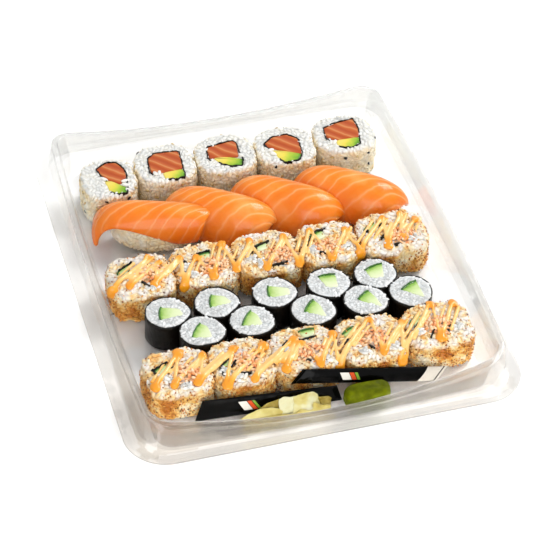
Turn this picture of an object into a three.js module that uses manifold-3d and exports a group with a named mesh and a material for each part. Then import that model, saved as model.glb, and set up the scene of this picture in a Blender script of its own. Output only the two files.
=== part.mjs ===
// A takeaway sushi tray: an open tray of clear plastic with a raised double-walled rim, filled with
// inside-out rolls, salmon nigiri, cucumber rolls, two sauce sachets, pickled ginger and wasabi.
// Millimetres, +Z up, +Y to the back row. The origin is the middle of the underside of the floor.
import * as THREE from 'three';
import { ConvexGeometry } from 'three/addons/geometries/ConvexGeometry.js';
import { mergeVertices } from 'three/addons/utils/BufferGeometryUtils.js';
import Module from 'manifold-3d';

const wasm = await Module();
wasm.setup();

// ---- Driving dimensions -------------------------------------------------------------------------

const GAP = 0.3; // clear space between pieces that touch

// Tray
const TRAY_WIDTH = 224;
const TRAY_DEPTH = 268.8;
const TRAY_CORNER = 23.7; // plan radius of the flange corners
const SHEET = 0.8; // thickness of the plastic
const FLANGE_HEIGHT = 7; // underside of the flange above the floor's underside
const FLANGE_BREADTH = 7.5;
const CREST_HEIGHT = 28.7; // top of the rim at the corners and along both sides
const CREST_DIP = 12.6; // how far the rim drops in the middle of the front and the back
const CREST_DIP_POWER = 6; // how suddenly it drops behind the corners
const CREST_OUTER = 11.2; // inset of the crest's outer edge from the flange edge
const CREST_INNER = 14.2;
const CREST_ROUND = [0.6, 1.1]; // rounding of the crest's edges, sideways and down
const CREST_BOW = 4; // how far the crest bulges out in the middle of each side
const FLANGE_BOW = 1.5; // bulge of the flange's inner edge
const FLOOR_INSET = 20.4;
const FLOOR_FILLET = 2.2; // radius where the inner wall meets the floor
const FLOOR_BOW = 3.5; // bulge of the floor's front and back edges
const FLOOR_SIDE_BOW = 0.6;
const INNER_CORNER = 9; // smallest plan radius inside the tray
const CORNER_STEPS = 5;
const SIDE_STEPS = 5;

// Food stands on the tray floor
const BASE = SHEET + GAP;

// Inside-out rolls
const ROLL_EDGE = 1.7; // rounding of the cut edges
const ROLL_TAPER = 1.1; // how much narrower a roll is at its foot than at half height
const ROLL_SIDES = 26;
const ROLL_SQUARENESS = 2.35; // exponent of the outline: 2 is an ellipse
const GRAIN_RELIEF = 0.55; // how far rice grains stand in or out
const ROW_1 = {
  name: 'salmon_avocado_roll', height: 22, depth: 35.5,
  bounds: [-91.2, -57.4, -20.6, 16.2, 52.8, 90.6], middles: [81.5, 86.6, 86.2, 84.6, 86.4],
};
const ROW_3 = {
  name: 'drizzled_roll', height: 19.6, depth: 34,
  bounds: [-94.2, -56.4, -19.9, 17.9, 52.6, 94.0], middles: [-2.4, -1.2, -0.8, -1.4, -2.2],
};
const ROW_5 = {
  name: 'front_roll', height: 19.6, depth: 33.6,
  bounds: [-93.2, -55.8, -21.2, 16.2, 55.1, 93.2], middles: [-80.8, -81.6, -81.2, -81.8, -81.2],
};

// Sesame seeds pressed into the outside of the back row
const SEED = { length: 3.1, width: 1.9, thickness: 1.1 };
const SEED_SINK = 0.2;
const SEEDS_ON_ROLL = 5;

// Sauce poured in a zig-zag: its turns, as [x, y], front and back by turns
const SAUCE_WIDTH = 3.1;
const SAUCE_RISE = 1.5; // height of a strand above the cut face
const SAUCE_BLOB = 3.1; // radius of the pool at a turn
const POOL_FLATNESS = 0.63; // height of a pool for each millimetre of its radius
const SAUCE_MARGIN = 0.4; // how far the pour stays behind the front and back of a roll
const SAUCE_ROW_3 = [
  [-88, -9], [-77, 8], [-69, -13], [-59, 7], [-52, -13], [-43, 7], [-36, -13], [-25, 9], [-21, -12],
  [-9, 9], [-4, -14], [11, 9], [15, -13], [27, 10], [33, -14], [48, 8], [53, -12], [69, 10],
  [69, -12], [84, 8],
];
const SAUCE_ROW_5 = [
  [-84, -90], [-70, -70], [-66, -93], [-58, -72], [-50, -94], [-40, -71], [-36, -94], [-25, -73],
  [-18, -93], [-5, -72], [3, -94], [16, -74], [18, -94], [38, -70], [41, -93], [56, -75],
  [57, -94], [75, -70], [75, -92], [86, -72],
];

// Cucumber rolls in two interleaved rows, pressed flat where they meet
const THIN_ROLL_RADIUS = 12.4;
const THIN_ROLL_HEIGHT = 18.6;
const THIN_ROLL_TIP = 1.6; // how far the seam side stands out
const THIN_ROLL_TIP_SPREAD = 0.5; // half width of the seam side in radians
const THIN_ROLL_EDGE = [0.07, 0.8]; // rounding of the upper edge: share of the radius, height
const THIN_ROLL_DOME = 0.3;
const THIN_ROLL_SIDES = 24;
const THIN_ROLL_ROOM = [-63.9, -19.4]; // front and back limits of the two rows
const THIN_ROLLS = [ // [x, y, direction of the seam side in degrees]
  [-68.2, -33.6, -15], [-39.8, -32.6, -10], [-6.2, -32.9, -20], [25.8, -32.9, -35],
  [53.8, -32.2, -60], [-53.4, -53.0, -15], [-24.6, -51.4, -30], [10.8, -51.6, -25],
  [41.6, -51.2, -40], [68.6, -50.6, -80],
];

// Salmon nigiri, lying slantwise one behind the other
const SLICE = { length: 63, width: 26.5, thickness: 4.2, slant: 4, sideDrop: 10.5 };
const SLICE_WAIST = 0.3; // how much narrower the ends of a slice are
const SLICE_TOP = 27.8;
const NIGIRI_GAP = 0.5; // by which a nigiri keeps clear of the one before it
const RICE_BLOCK = { length: 51, width: 22.5, height: 21 };
const NIGIRI = [ // middle, turn in degrees seen from above, and how far each end droops
  { x: -56.9, y: 45.2, turn: -18, drop: [19.4, 15] },
  { x: -18.2, y: 45.8, turn: -33, drop: [17, 16] },
  { x: 20.8, y: 45.6, turn: -35, drop: [17, 16] },
  { x: 59.4, y: 45.0, turn: -34, drop: [17, 17] },
];

// Front strip
const SACHET_THICKNESS = 3.2;
const SACHET_SEAL = 0.7; // thickness of the sealed ends
const SACHETS = [ // corners: top left, top right, bottom left, bottom right
  [[-65.5, -100.8, 15], [-3.5, -103.6, 14], [-70.5, -103.6, 2.8], [-1, -107.6, 2.8]],
  [[-9, -98.7, 22.6], [74, -101.9, 7.4], [-16, -100.5, 15], [66, -107.1, 2.6]],
];
const GINGER = { x: -26.5, y: -111.8, length: 56, width: 9, height: 8 };
const GINGER_SLICE = { length: 19, width: 11.5, thickness: 1.3, wave: 1.3, curl: 1.4, tilt: 0.7 };
const GINGER_SLICES = 5;
const GINGER_MARGIN = 0.5; // how far a slice may stand out before or behind the heap
const WASABI = { x: 24, y: -112, length: 26.4, width: 10.8, height: 13.6 };

// ---- Materials ----------------------------------------------------------------------------------

function finish(color, roughness) {
  return new THREE.MeshStandardMaterial({ color, roughness, metalness: 0 });
}

const clearPlastic = new THREE.MeshStandardMaterial({
  color: '#e9e8e4', roughness: 0.08, metalness: 0, transparent: true, opacity: 0.35,
});
const rice = finish('#ece8da', 0.55);
const spicedRice = finish('#ecc98e', 0.55);
const seaweed = finish('#15170f', 0.5);
const salmon = finish('#ee8640', 0.35);
const blackFilm = finish('#15151a', 0.3);
const ginger = finish('#e3d68c', 0.4);
const wasabi = finish('#8fa51f', 0.6);

// ---- Solids -------------------------------------------------------------------------------------

function seededRandom(seed) {
  let state = seed;
  return () => {
    state = (state * 1664525 + 1013904223) % 4294967296;
    return state / 4294967296;
  };
}

// Leaves only shared positions and drops triangles of no area.
function weld(geometry) {
  geometry.deleteAttribute('normal');
  geometry.deleteAttribute('uv');
  const merged = mergeVertices(geometry, 1e-3);
  const index = merged.index.array;
  const kept = [];
  for (let i = 0; i < index.length; i += 3) {
    const [a, b, c] = [index[i], index[i + 1], index[i + 2]];
    if (a !== b && b !== c && c !== a) {
      kept.push(a, b, c);
    }
  }
  merged.setIndex(kept);
  return merged;
}

function signedVolume(geometry) {
  const position = geometry.attributes.position;
  const [a, b, c] = [new THREE.Vector3(), new THREE.Vector3(), new THREE.Vector3()];
  const index = geometry.index.array;
  let sum = 0;
  for (let i = 0; i < index.length; i += 3) {
    a.fromBufferAttribute(position, index[i]);
    b.fromBufferAttribute(position, index[i + 1]);
    c.fromBufferAttribute(position, index[i + 2]);
    sum += a.dot(b.cross(c)) / 6;
  }
  return sum;
}

function facingOut(geometry) {
  if (signedVolume(geometry) < 0) {
    const index = Array.from(geometry.index.array);
    for (let i = 0; i < index.length; i += 3) {
      [index[i], index[i + 1]] = [index[i + 1], index[i]];
    }
    geometry.setIndex(index);
  }
  return geometry;
}

// Moves every point of a welded geometry by a rule.
function reshape(geometry, rule) {
  const position = geometry.attributes.position;
  const point = new THREE.Vector3();
  for (let i = 0; i < position.count; i += 1) {
    point.fromBufferAttribute(position, i);
    rule(point, i);
    position.setXYZ(i, point.x, point.y, point.z);
  }
  return geometry;
}

function solid(geometry) {
  facingOut(geometry);
  return new wasm.Manifold(new wasm.Mesh({
    numProp: 3,
    vertProperties: new Float32Array(geometry.attributes.position.array),
    triVerts: new Uint32Array(geometry.index.array),
  }));
}

function geometryOf(body) {
  const mesh = body.getMesh();
  const geometry = new THREE.BufferGeometry();
  geometry.setAttribute('position', new THREE.BufferAttribute(mesh.vertProperties, 3));
  geometry.setIndex(Array.from(mesh.triVerts));
  return geometry;
}

function namedMesh(name, geometry, material) {
  const mesh = new THREE.Mesh(geometry, material);
  mesh.name = name;
  return mesh;
}

function united(bodies) {
  return bodies.reduce((sum, body) => sum.add(body));
}

// Drops scraps that a cut has left loose.
function largest(body) {
  const pieces = body.decompose().sort((one, two) => two.volume() - one.volume());
  return pieces[0];
}

function boxBetween([x0, x1], [y0, y1], [z0, z1]) {
  const box = weld(new THREE.BoxGeometry(x1 - x0, y1 - y0, z1 - z0));
  return solid(box.translate((x0 + x1) / 2, (y0 + y1) / 2, (z0 + z1) / 2));
}

// ---- Tray ---------------------------------------------------------------------------------------

// Points round a rectangle with round corners whose sides bulge by bowX and bowY.
function outline(inset, bowX, bowY) {
  const halfX = TRAY_WIDTH / 2 - inset;
  const halfY = TRAY_DEPTH / 2 - inset;
  const radius = Math.max(TRAY_CORNER - inset, INNER_CORNER);
  const [straightX, straightY] = [halfX - radius, halfY - radius];
  const corners = [[1, 1], [-1, 1], [-1, -1], [1, -1]];
  const points = [];
  corners.forEach(([signX, signY], quarter) => {
    for (let k = 0; k <= CORNER_STEPS; k += 1) {
      const angle = (Math.PI / 2) * (quarter + k / CORNER_STEPS);
      points.push([
        signX * straightX + radius * Math.cos(angle), signY * straightY + radius * Math.sin(angle),
      ]);
    }
    const [nextX, nextY] = corners[(quarter + 1) % 4];
    const [fromX, fromY] = points[points.length - 1];
    const toX = quarter % 2 ? fromX : nextX * straightX;
    const toY = quarter % 2 ? nextY * straightY : fromY;
    for (let k = 1; k < SIDE_STEPS; k += 1) {
      const share = k / SIDE_STEPS;
      points.push([fromX + (toX - fromX) * share, fromY + (toY - fromY) * share]);
    }
  });
  return points.map(([x, y]) => {
    const [u, v] = [x / halfX, y / halfY];
    return [x + bowX * Math.sign(x) * (1 - v * v) * u * u, y + bowY * Math.sign(y) * (1 - u * u) * v * v];
  });
}

// The rim's height at a share u, v of the half width and half depth.
function crestHeight(u, v) {
  return CREST_HEIGHT - CREST_DIP * (1 - u * u) * Math.abs(v) ** CREST_DIP_POWER;
}

// A station is one line round the tray: an inset, its bulges and its height.
function station(inset, bowX, bowY, height) {
  const [halfX, halfY] = [TRAY_WIDTH / 2 - inset, TRAY_DEPTH / 2 - inset];
  return outline(inset, bowX, bowY).map(([x, y]) => [x, y, height(x / halfX, y / halfY)]);
}

function trayBody() {
  const level = (z) => () => z;
  const crest = (below) => (u, v) => crestHeight(Math.min(Math.abs(u), 1), v) - below;
  const filletInset = FLOOR_INSET - FLOOR_FILLET;
  const halfSheet = SHEET / 2;
  const [roundIn, roundDown] = CREST_ROUND;
  const stations = [
    station(FLOOR_INSET, FLOOR_SIDE_BOW, FLOOR_BOW, level(SHEET)),
    station(filletInset, FLOOR_SIDE_BOW, FLOOR_BOW, level(SHEET + FLOOR_FILLET)),
    station(CREST_INNER + roundIn, CREST_BOW, CREST_BOW, crest(roundDown)),
    station(CREST_INNER, CREST_BOW, CREST_BOW, crest(0)),
    station(CREST_OUTER, CREST_BOW, CREST_BOW, crest(0)),
    station(CREST_OUTER - roundIn, CREST_BOW, CREST_BOW, crest(roundDown)),
    station(FLANGE_BREADTH, FLANGE_BOW, FLANGE_BOW, level(FLANGE_HEIGHT + SHEET)),
    station(0, 0, 0, level(FLANGE_HEIGHT + SHEET)),
    station(0, 0, 0, level(FLANGE_HEIGHT)),
    station(FLANGE_BREADTH + SHEET, FLANGE_BOW, FLANGE_BOW, level(FLANGE_HEIGHT)),
    station(CREST_OUTER - roundIn + SHEET, CREST_BOW, CREST_BOW, crest(roundDown + halfSheet)),
    station(CREST_OUTER + SHEET, CREST_BOW, CREST_BOW, crest(SHEET)),
    station(CREST_INNER - SHEET, CREST_BOW, CREST_BOW, crest(SHEET)),
    station(CREST_INNER + roundIn - SHEET, CREST_BOW, CREST_BOW, crest(roundDown + halfSheet)),
    station(filletInset - SHEET, FLOOR_SIDE_BOW, FLOOR_BOW, level(FLOOR_FILLET + halfSheet)),
    station(FLOOR_INSET - halfSheet, FLOOR_SIDE_BOW, FLOOR_BOW, level(0)),
  ];
  const around = stations[0].length;
  // A closed lathe profile, from the top of the floor round to its underside; each ring of it is
  // then laid on its station.
  const profile = [new THREE.Vector2(0, SHEET)];
  stations.forEach((ring, row) => profile.push(new THREE.Vector2(10 + row, SHEET)));
  profile.push(new THREE.Vector2(0, 0));
  const lathe = new THREE.LatheGeometry(profile, around);
  const position = lathe.attributes.position;
  for (let segment = 0; segment <= around; segment += 1) {
    for (let row = 0; row < profile.length; row += 1) {
      const ring = stations[row - 1];
      const place = segment * profile.length + row;
      if (ring) {
        position.setXYZ(place, ...ring[segment % around]);
      } else {
        position.setXYZ(place, 0, 0, row === 0 ? SHEET : 0);
      }
    }
  }
  return facingOut(weld(lathe));
}

// ---- Inside-out rolls ---------------------------------------------------------------------------

// A short upright roll that fills its cell between two neighbours. Its side and cut face are rough
// with rice grains; random is a seeded source.
function rollBody(row, cell, random) {
  const [left, right] = [row.bounds[cell] + GAP / 2, row.bounds[cell + 1] - GAP / 2];
  const [halfX, halfY] = [(right - left) / 2, row.depth / 2];
  const top = row.height;
  const rings = [
    [0, 0], [1 - (ROLL_EDGE + ROLL_TAPER) / halfX, 0], [1 - ROLL_TAPER / halfX, ROLL_EDGE],
    [1, top / 2], [1, top - ROLL_EDGE],
    [1 - ROLL_EDGE / halfX, top], [0, top],
  ];
  const profile = rings.map(([share, height]) => new THREE.Vector2(share * 10, height));
  const body = weld(new THREE.LatheGeometry(profile, ROLL_SIDES).rotateX(Math.PI / 2));
  reshape(body, (point) => {
    const share = Math.hypot(point.x, point.y) / 10;
    if (share > 0.01) {
      const [cos, sin] = [point.x / (share * 10), point.y / (share * 10)];
      const power = ROLL_SQUARENESS;
      const reach = (Math.abs(cos / halfX) ** power + Math.abs(sin / halfY) ** power) ** (-1 / power);
      const grain = share > 0.9 ? (random() - 0.6) * 2 * GRAIN_RELIEF : 0;
      point.x = THREE.MathUtils.clamp((reach * share + grain) * cos, -halfX, halfX);
      point.y = (reach * share + grain) * sin;
    }
  });
  return solid(body.translate((left + right) / 2, row.middles[cell], BASE));
}

// One stretch of sauce: a low six-sided bar from one turn of the pour to the next.
function sauceStroke([x0, y0], [x1, y1], top) {
  const length = Math.hypot(x1 - x0, y1 - y0);
  const bar = weld(new THREE.CylinderGeometry(SAUCE_WIDTH / 2, SAUCE_WIDTH / 2, length, 6));
  bar.scale(1, 1, SAUCE_RISE / (SAUCE_WIDTH / 2));
  bar.rotateZ(Math.atan2(y1 - y0, x1 - x0) - Math.PI / 2);
  return solid(bar.translate((x0 + x1) / 2, (y0 + y1) / 2, top));
}

function saucePool([x, y], top, random) {
  const pool = weld(new THREE.SphereGeometry(SAUCE_BLOB * (0.75 + 0.35 * random()), 6, 4));
  pool.rotateX(Math.PI / 2).scale(1, 1.1, POOL_FLATNESS);
  return solid(pool.translate(x, y, top));
}

// A roll of the drizzled rows with the part of the pour that crosses its cell.
function drizzledRoll(row, cell, turns, random) {
  const top = BASE + row.height;
  const cellX = [row.bounds[cell] + GAP / 2, row.bounds[cell + 1] - GAP / 2];
  const reach = row.depth / 2 - SAUCE_MARGIN;
  const cellY = [row.middles[cell] - reach, row.middles[cell] + reach];
  const room = boxBetween(cellX, cellY, [top - SAUCE_BLOB, top + SAUCE_BLOB]);
  const sauce = [];
  turns.forEach((turn, k) => {
    const next = turns[k + 1];
    const inside = (x) => x > cellX[0] - SAUCE_BLOB && x < cellX[1] + SAUCE_BLOB;
    if (inside(turn[0])) {
      sauce.push(saucePool(turn, top, random));
    }
    if (next && (inside(turn[0]) || inside(next[0]))) {
      sauce.push(sauceStroke(turn, next, top));
    }
  });
  return largest(rollBody(row, cell, random).add(united(sauce).intersect(room)));
}

// Sesame seeds lie half sunk in the front and the sides of a roll.
function seededRoll(row, cell, random) {
  const body = rollBody(row, cell, random);
  const [left, right] = [row.bounds[cell], row.bounds[cell + 1]];
  const [halfX, halfY] = [(right - left) / 2, row.depth / 2];
  const [middleX, middleY] = [(left + right) / 2, row.middles[cell]];
  const seeds = [];
  for (let k = 0; k < SEEDS_ON_ROLL; k += 1) {
    const angle = -Math.PI * (0.12 + 0.76 * ((k + 0.7 * random()) / SEEDS_ON_ROLL));
    const [cos, sin] = [Math.cos(angle), Math.sin(angle)];
    const seed = weld(new THREE.OctahedronGeometry(1, 0));
    seed.scale(SEED.thickness / 2, SEED.width / 2, SEED.length / 2);
    seed.rotateX(random() * Math.PI).rotateZ(angle);
    const radius = 1 / Math.hypot(cos / halfX, sin / halfY) - SEED_SINK;
    const height = BASE + row.height * (0.35 + 0.5 * random());
    seeds.push(solid(seed.translate(middleX + radius * cos, middleY + radius * sin, height)));
  }
  const ownRoom = boxBetween(
    [left + GAP / 2, right - GAP / 2], [middleY - row.depth, middleY + row.depth], [BASE, 2 * row.height],
  );
  return largest(body.add(united(seeds)).intersect(ownRoom));
}

// ---- Cucumber rolls -----------------------------------------------------------------------------

// How far a roll at (x, y) can reach in a direction before it meets its neighbours or the rows
// before and behind it.
function thinRollReach(x, y, angle) {
  let reach = Infinity;
  THIN_ROLLS.forEach(([otherX, otherY]) => {
    const distance = Math.hypot(otherX - x, otherY - y);
    const toward = Math.cos(angle - Math.atan2(otherY - y, otherX - x));
    if (distance > 0 && toward > 0) {
      reach = Math.min(reach, (distance - GAP) / 2 / toward);
    }
  });
  const [front, back] = THIN_ROLL_ROOM;
  const limit = Math.sin(angle) > 0 ? back - y : front - y;
  return Math.min(reach, Math.abs(limit / (Math.sin(angle) || 1e-9)));
}

function thinRoll([x, y, seam], random) {
  const top = THIN_ROLL_HEIGHT;
  const [edgeShare, edgeHeight] = THIN_ROLL_EDGE;
  const rings = [
    [0, 0], [1, 0], [1, top - edgeHeight], [1 - edgeShare, top], [0, top + THIN_ROLL_DOME],
  ];
  const profile = rings.map(([share, height]) => new THREE.Vector2(share, height));
  const body = weld(new THREE.LatheGeometry(profile, THIN_ROLL_SIDES).rotateX(Math.PI / 2));
  const tip = THREE.MathUtils.degToRad(seam);
  reshape(body, (point) => {
    const angle = Math.atan2(point.y, point.x);
    const off = Math.abs(Math.atan2(Math.sin(angle - tip), Math.cos(angle - tip)));
    const bulge = THIN_ROLL_TIP * Math.exp(-((off / THIN_ROLL_TIP_SPREAD) ** 2));
    const free = THIN_ROLL_RADIUS + bulge;
    const radius = Math.min(free, thinRollReach(x, y, angle));
    const share = Math.hypot(point.x, point.y) * radius;
    const grain = point.z > top - edgeHeight / 2 ? (random() - 0.7) * GRAIN_RELIEF : 0;
    point.set(share * Math.cos(angle), share * Math.sin(angle), point.z + grain);
  });
  return solid(body.translate(x, y, BASE));
}

// ---- Nigiri -------------------------------------------------------------------------------------

// A pressed block of rice with a slice of salmon draped along and over it. Along the slice u runs
// from -1 to 1, across it v.
function nigiriBody({ x, y, turn, drop }, random) {
  const block = weld(new THREE.SphereGeometry(1, 12, 7).rotateX(Math.PI / 2));
  reshape(block, (point) => {
    const flat = Math.sign(point.z) * Math.abs(point.z) ** 0.7;
    const square = 1 / (Math.abs(point.x) ** 3 + Math.abs(point.y) ** 3 + 1e-6) ** (1 / 3);
    const round = Math.hypot(point.x, point.y);
    const spread = round > 0.05 ? 1 + 0.35 * (square * round - 1) : 1;
    const grain = 1 + (random() - 0.5) * 0.05;
    point.set(
      (point.x * spread * grain * RICE_BLOCK.length) / 2,
      (point.y * spread * grain * RICE_BLOCK.width) / 2,
      BASE + ((flat + 1) * RICE_BLOCK.height) / 2,
    );
  });
  const slice = weld(new THREE.BoxGeometry(2, 2, 1, 8, 4, 1));
  reshape(slice, (point) => {
    const [u, v] = [point.x, point.y];
    const thickness = SLICE.thickness * (1 - 0.3 * v * v - 0.15 * u * u);
    const endFall = drop[u < 0 ? 0 : 1] * Math.abs(u) ** 2.5;
    const sideFall = SLICE.sideDrop * Math.abs(v) ** 2.6 * (1 - 0.35 * u * u);
    const lowest = SLICE_TOP - BASE - thickness;
    const fall = Math.min(endFall + sideFall, lowest);
    const waist = 1 - SLICE_WAIST * Math.abs(u) ** 3;
    const slant = SLICE.slant * v; // the slice is cut on the slant
    point.set(
      ((u * SLICE.length) / 2) * (1 - 0.05 * v * v) + slant,
      (v * waist * SLICE.width) / 2,
      SLICE_TOP - fall - (0.5 - point.z) * thickness,
    );
  });
  const body = solid(block).add(solid(slice));
  return body.rotate([0, 0, turn]).translate([x, y, 0]);
}

// The convex outer form of a body, grown on every side by a gap and a little more, for the parts
// of the form that growing moves least.
function grownHull(body) {
  const geometry = geometryOf(body);
  const position = geometry.attributes.position;
  const points = [];
  for (let i = 0; i < position.count; i += 1) {
    points.push(new THREE.Vector3().fromBufferAttribute(position, i));
  }
  geometry.computeBoundingBox();
  const middle = geometry.boundingBox.getCenter(new THREE.Vector3());
  const grown = geometry.boundingBox.getSize(new THREE.Vector3()).toArray()
    .map((size) => 1 + (2 * NIGIRI_GAP) / size);
  const hull = new ConvexGeometry(points).translate(-middle.x, -middle.y, -middle.z);
  return solid(weld(hull.scale(...grown)).translate(middle.x, middle.y, middle.z));
}

// ---- Front strip --------------------------------------------------------------------------------

// A flat pillow of film between four corners, thickest in its middle, with thin sealed ends.
function sachetBody([topLeft, topRight, bottomLeft, bottomRight]) {
  const pillow = weld(new THREE.BoxGeometry(2, 1, 2, 9, 1, 3));
  const corners = [topLeft, topRight, bottomLeft, bottomRight].map((c) => new THREE.Vector3(...c));
  const along = corners[1].clone().sub(corners[0]);
  const across = corners[2].clone().sub(corners[0]);
  const normal = along.cross(across).normalize();
  return solid(reshape(pillow, (point) => {
    const [u, v] = [(point.x + 1) / 2, (1 - point.z) / 2];
    const side = Math.sign(point.y);
    const upper = corners[0].clone().lerp(corners[1], u);
    const lower = corners[2].clone().lerp(corners[3], u);
    const lengthwise = Math.sqrt(Math.max(0, 1 - Math.abs(2 * u - 1) ** 6));
    const swell = lengthwise * (1 - 0.75 * (2 * v - 1) ** 2);
    const thickness = SACHET_SEAL + (SACHET_THICKNESS - SACHET_SEAL) * swell;
    point.copy(upper.lerp(lower, v)).addScaledVector(normal, (side * thickness) / 2);
  }));
}

function gingerBody(random) {
  const core = weld(new THREE.SphereGeometry(1, 10, 5).rotateX(Math.PI / 2));
  reshape(core, (point) => {
    point.x *= GINGER.length / 2;
    point.y *= GINGER.width / 2;
    point.z = BASE + (Math.max(point.z, -0.5) + 0.5) * GINGER.height / 1.5;
  });
  const parts = [solid(core)];
  for (let k = 0; k < GINGER_SLICES; k += 1) {
    const share = (k + 0.5) / GINGER_SLICES;
    const sheet = weld(new THREE.BoxGeometry(1, 1, 1, 3, 2, 1));
    const phase = random() * 6;
    reshape(sheet, (point) => {
      const [u, v, w] = [point.x * 2, point.y * 2, point.z];
      const wave = GINGER_SLICE.wave * Math.sin(2.6 * u + phase) + GINGER_SLICE.curl * v * v;
      const width = GINGER_SLICE.width * (1 - 0.25 * u * u);
      point.set((u * GINGER_SLICE.length) / 2, (v * width) / 2, wave + w * GINGER_SLICE.thickness);
    });
    sheet.rotateX(GINGER_SLICE.tilt + 0.5 * (random() - 0.5));
    sheet.rotateZ(0.7 * (random() - 0.5));
    const height = 4.6 + 2.6 * Math.sin(Math.PI * share) + 1.5 * random();
    const x = (share - 0.5) * (GINGER.length - 0.7 * GINGER_SLICE.length);
    parts.push(solid(sheet.translate(x, 0, height)));
  }
  const heap = united(parts).translate([GINGER.x, GINGER.y, 0]);
  const depth = GINGER.width / 2 + GINGER_MARGIN;
  const room = boxBetween(
    [GINGER.x - GINGER.length, GINGER.x + GINGER.length],
    [GINGER.y - depth, GINGER.y + depth],
    [BASE, 4 * GINGER.height],
  );
  return largest(heap.intersect(room));
}

function wasabiBody(random) {
  const lump = weld(new THREE.SphereGeometry(1, 12, 7).rotateX(Math.PI / 2));
  return solid(reshape(lump, (point) => {
    const rise = Math.sign(point.z) * Math.abs(point.z) ** 0.75;
    const round = 1 + (random() - 0.5) * 0.06;
    point.set(
      WASABI.x + point.x * round * WASABI.length / 2,
      WASABI.y + point.y * round * WASABI.width / 2,
      BASE + (rise + 1) * WASABI.height / 2,
    );
  }));
}

// ---- The filled tray ----------------------------------------------------------------------------

const group = new THREE.Group();
group.add(namedMesh('clear_tray', trayBody(), clearPlastic));

ROW_1.middles.forEach((middle, cell) => {
  const body = seededRoll(ROW_1, cell, seededRandom(101 + cell));
  group.add(namedMesh(`${ROW_1.name}_${cell + 1}`, geometryOf(body), rice));
});

const lying = [];
NIGIRI.forEach((place, k) => {
  const whole = nigiriBody(place, seededRandom(201 + k));
  const body = lying.length ? largest(whole.subtract(grownHull(lying[k - 1]))) : whole;
  lying.push(body);
  group.add(namedMesh(`salmon_nigiri_${k + 1}`, geometryOf(body), salmon));
});

[[ROW_3, SAUCE_ROW_3, 301], [ROW_5, SAUCE_ROW_5, 501]].forEach(([row, turns, seed]) => {
  row.middles.forEach((middle, cell) => {
    const body = drizzledRoll(row, cell, turns, seededRandom(seed + cell));
    group.add(namedMesh(`${row.name}_${cell + 1}`, geometryOf(body), spicedRice));
  });
});

THIN_ROLLS.forEach((place, k) => {
  const body = thinRoll(place, seededRandom(401 + k));
  group.add(namedMesh(`cucumber_roll_${k + 1}`, geometryOf(body), seaweed));
});

SACHETS.forEach((corners, k) => {
  group.add(namedMesh(`sauce_sachet_${k + 1}`, geometryOf(sachetBody(corners)), blackFilm));
});
group.add(namedMesh('pickled_ginger', geometryOf(gingerBody(seededRandom(601))), ginger));
group.add(namedMesh('wasabi', geometryOf(wasabiBody(seededRandom(701))), wasabi));

export default group;
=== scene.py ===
# %% [markdown]
# # A takeaway platter of sushi
#
# The object is an open tray of clear plastic, full of food: a back row of inside-out rolls with
# salmon and avocado, four salmon nigiri, two rows of rolls with a zig-zag of sauce, ten thin
# cucumber rolls between them, and sachets, pickled ginger and wasabi along the front. Plain solids
# of all of these exist already. This lesson gives each one its real surface: grains, seaweed,
# fillings, fat lines, film and clear plastic.

# %% Open the solids
import math
import random

import bmesh
import bpy
import numpy as np
from mathutils import Matrix, Vector, geometry, noise
from mathutils.bvhtree import BVHTree


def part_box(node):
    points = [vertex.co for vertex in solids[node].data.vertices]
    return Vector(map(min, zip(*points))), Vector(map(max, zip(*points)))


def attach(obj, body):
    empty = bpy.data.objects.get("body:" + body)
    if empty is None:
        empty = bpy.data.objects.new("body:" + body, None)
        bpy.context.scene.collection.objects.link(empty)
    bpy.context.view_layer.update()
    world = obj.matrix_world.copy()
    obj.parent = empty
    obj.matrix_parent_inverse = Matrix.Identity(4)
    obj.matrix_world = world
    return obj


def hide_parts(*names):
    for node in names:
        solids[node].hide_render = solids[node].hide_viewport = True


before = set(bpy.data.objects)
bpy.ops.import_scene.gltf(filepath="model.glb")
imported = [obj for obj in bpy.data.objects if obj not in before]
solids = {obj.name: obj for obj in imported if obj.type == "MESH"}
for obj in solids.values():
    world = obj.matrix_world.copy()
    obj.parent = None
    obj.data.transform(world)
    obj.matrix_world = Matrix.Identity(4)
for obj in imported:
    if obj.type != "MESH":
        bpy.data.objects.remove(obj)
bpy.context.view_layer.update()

# %% [markdown]
# ## Millimetres
#
# Food is easiest to think of in millimetres, but a scene is in metres. So every shape below is
# modelled in millimetres, and one function turns it to metres as it becomes a piece of the scene.
# The same function hangs the piece on the part's body and hides the solids that it stands for.

# %% Pieces
MM = 0.001
ROW_SIZE = 5


def box_of(name):
    """Lowest and highest corner of a solid, in millimetres."""
    low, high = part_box(name)
    return low / MM, high / MM


def numbered(stem, count):
    return [f"{stem}_{k}" for k in range(1, count + 1)]


def piece(name, bm, finishes, stands_for=(), smooth=True):
    """Turns a shape in millimetres into a piece of the part."""
    bmesh.ops.scale(bm, vec=(MM, MM, MM), verts=bm.verts)
    mesh = bpy.data.meshes.new(name)
    bm.to_mesh(mesh)
    bm.free()
    return settle(name, mesh, finishes, stands_for, smooth)


def settle(name, mesh, finishes, stands_for=(), smooth=True):
    """Puts a mesh that is already in metres into the scene."""
    for finish in finishes:
        mesh.materials.append(finish)
    mesh.polygons.foreach_set("use_smooth", [smooth] * len(mesh.polygons))
    made = bpy.data.objects.new(name, mesh)
    bpy.context.scene.collection.objects.link(made)
    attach(made, "root")
    if stands_for:
        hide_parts(*stands_for)
    return made


# %% [markdown]
# ## Colours and nodes
#
# A colour read off a screen is an sRGB code, while the renderer counts in linear light, so one
# function translates. Another adds a shader node with its settings and its links. A pattern is
# easier to picture as a size in millimetres than as a scale, so a third turns one into the other.

# %% Colour and node helpers


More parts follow.
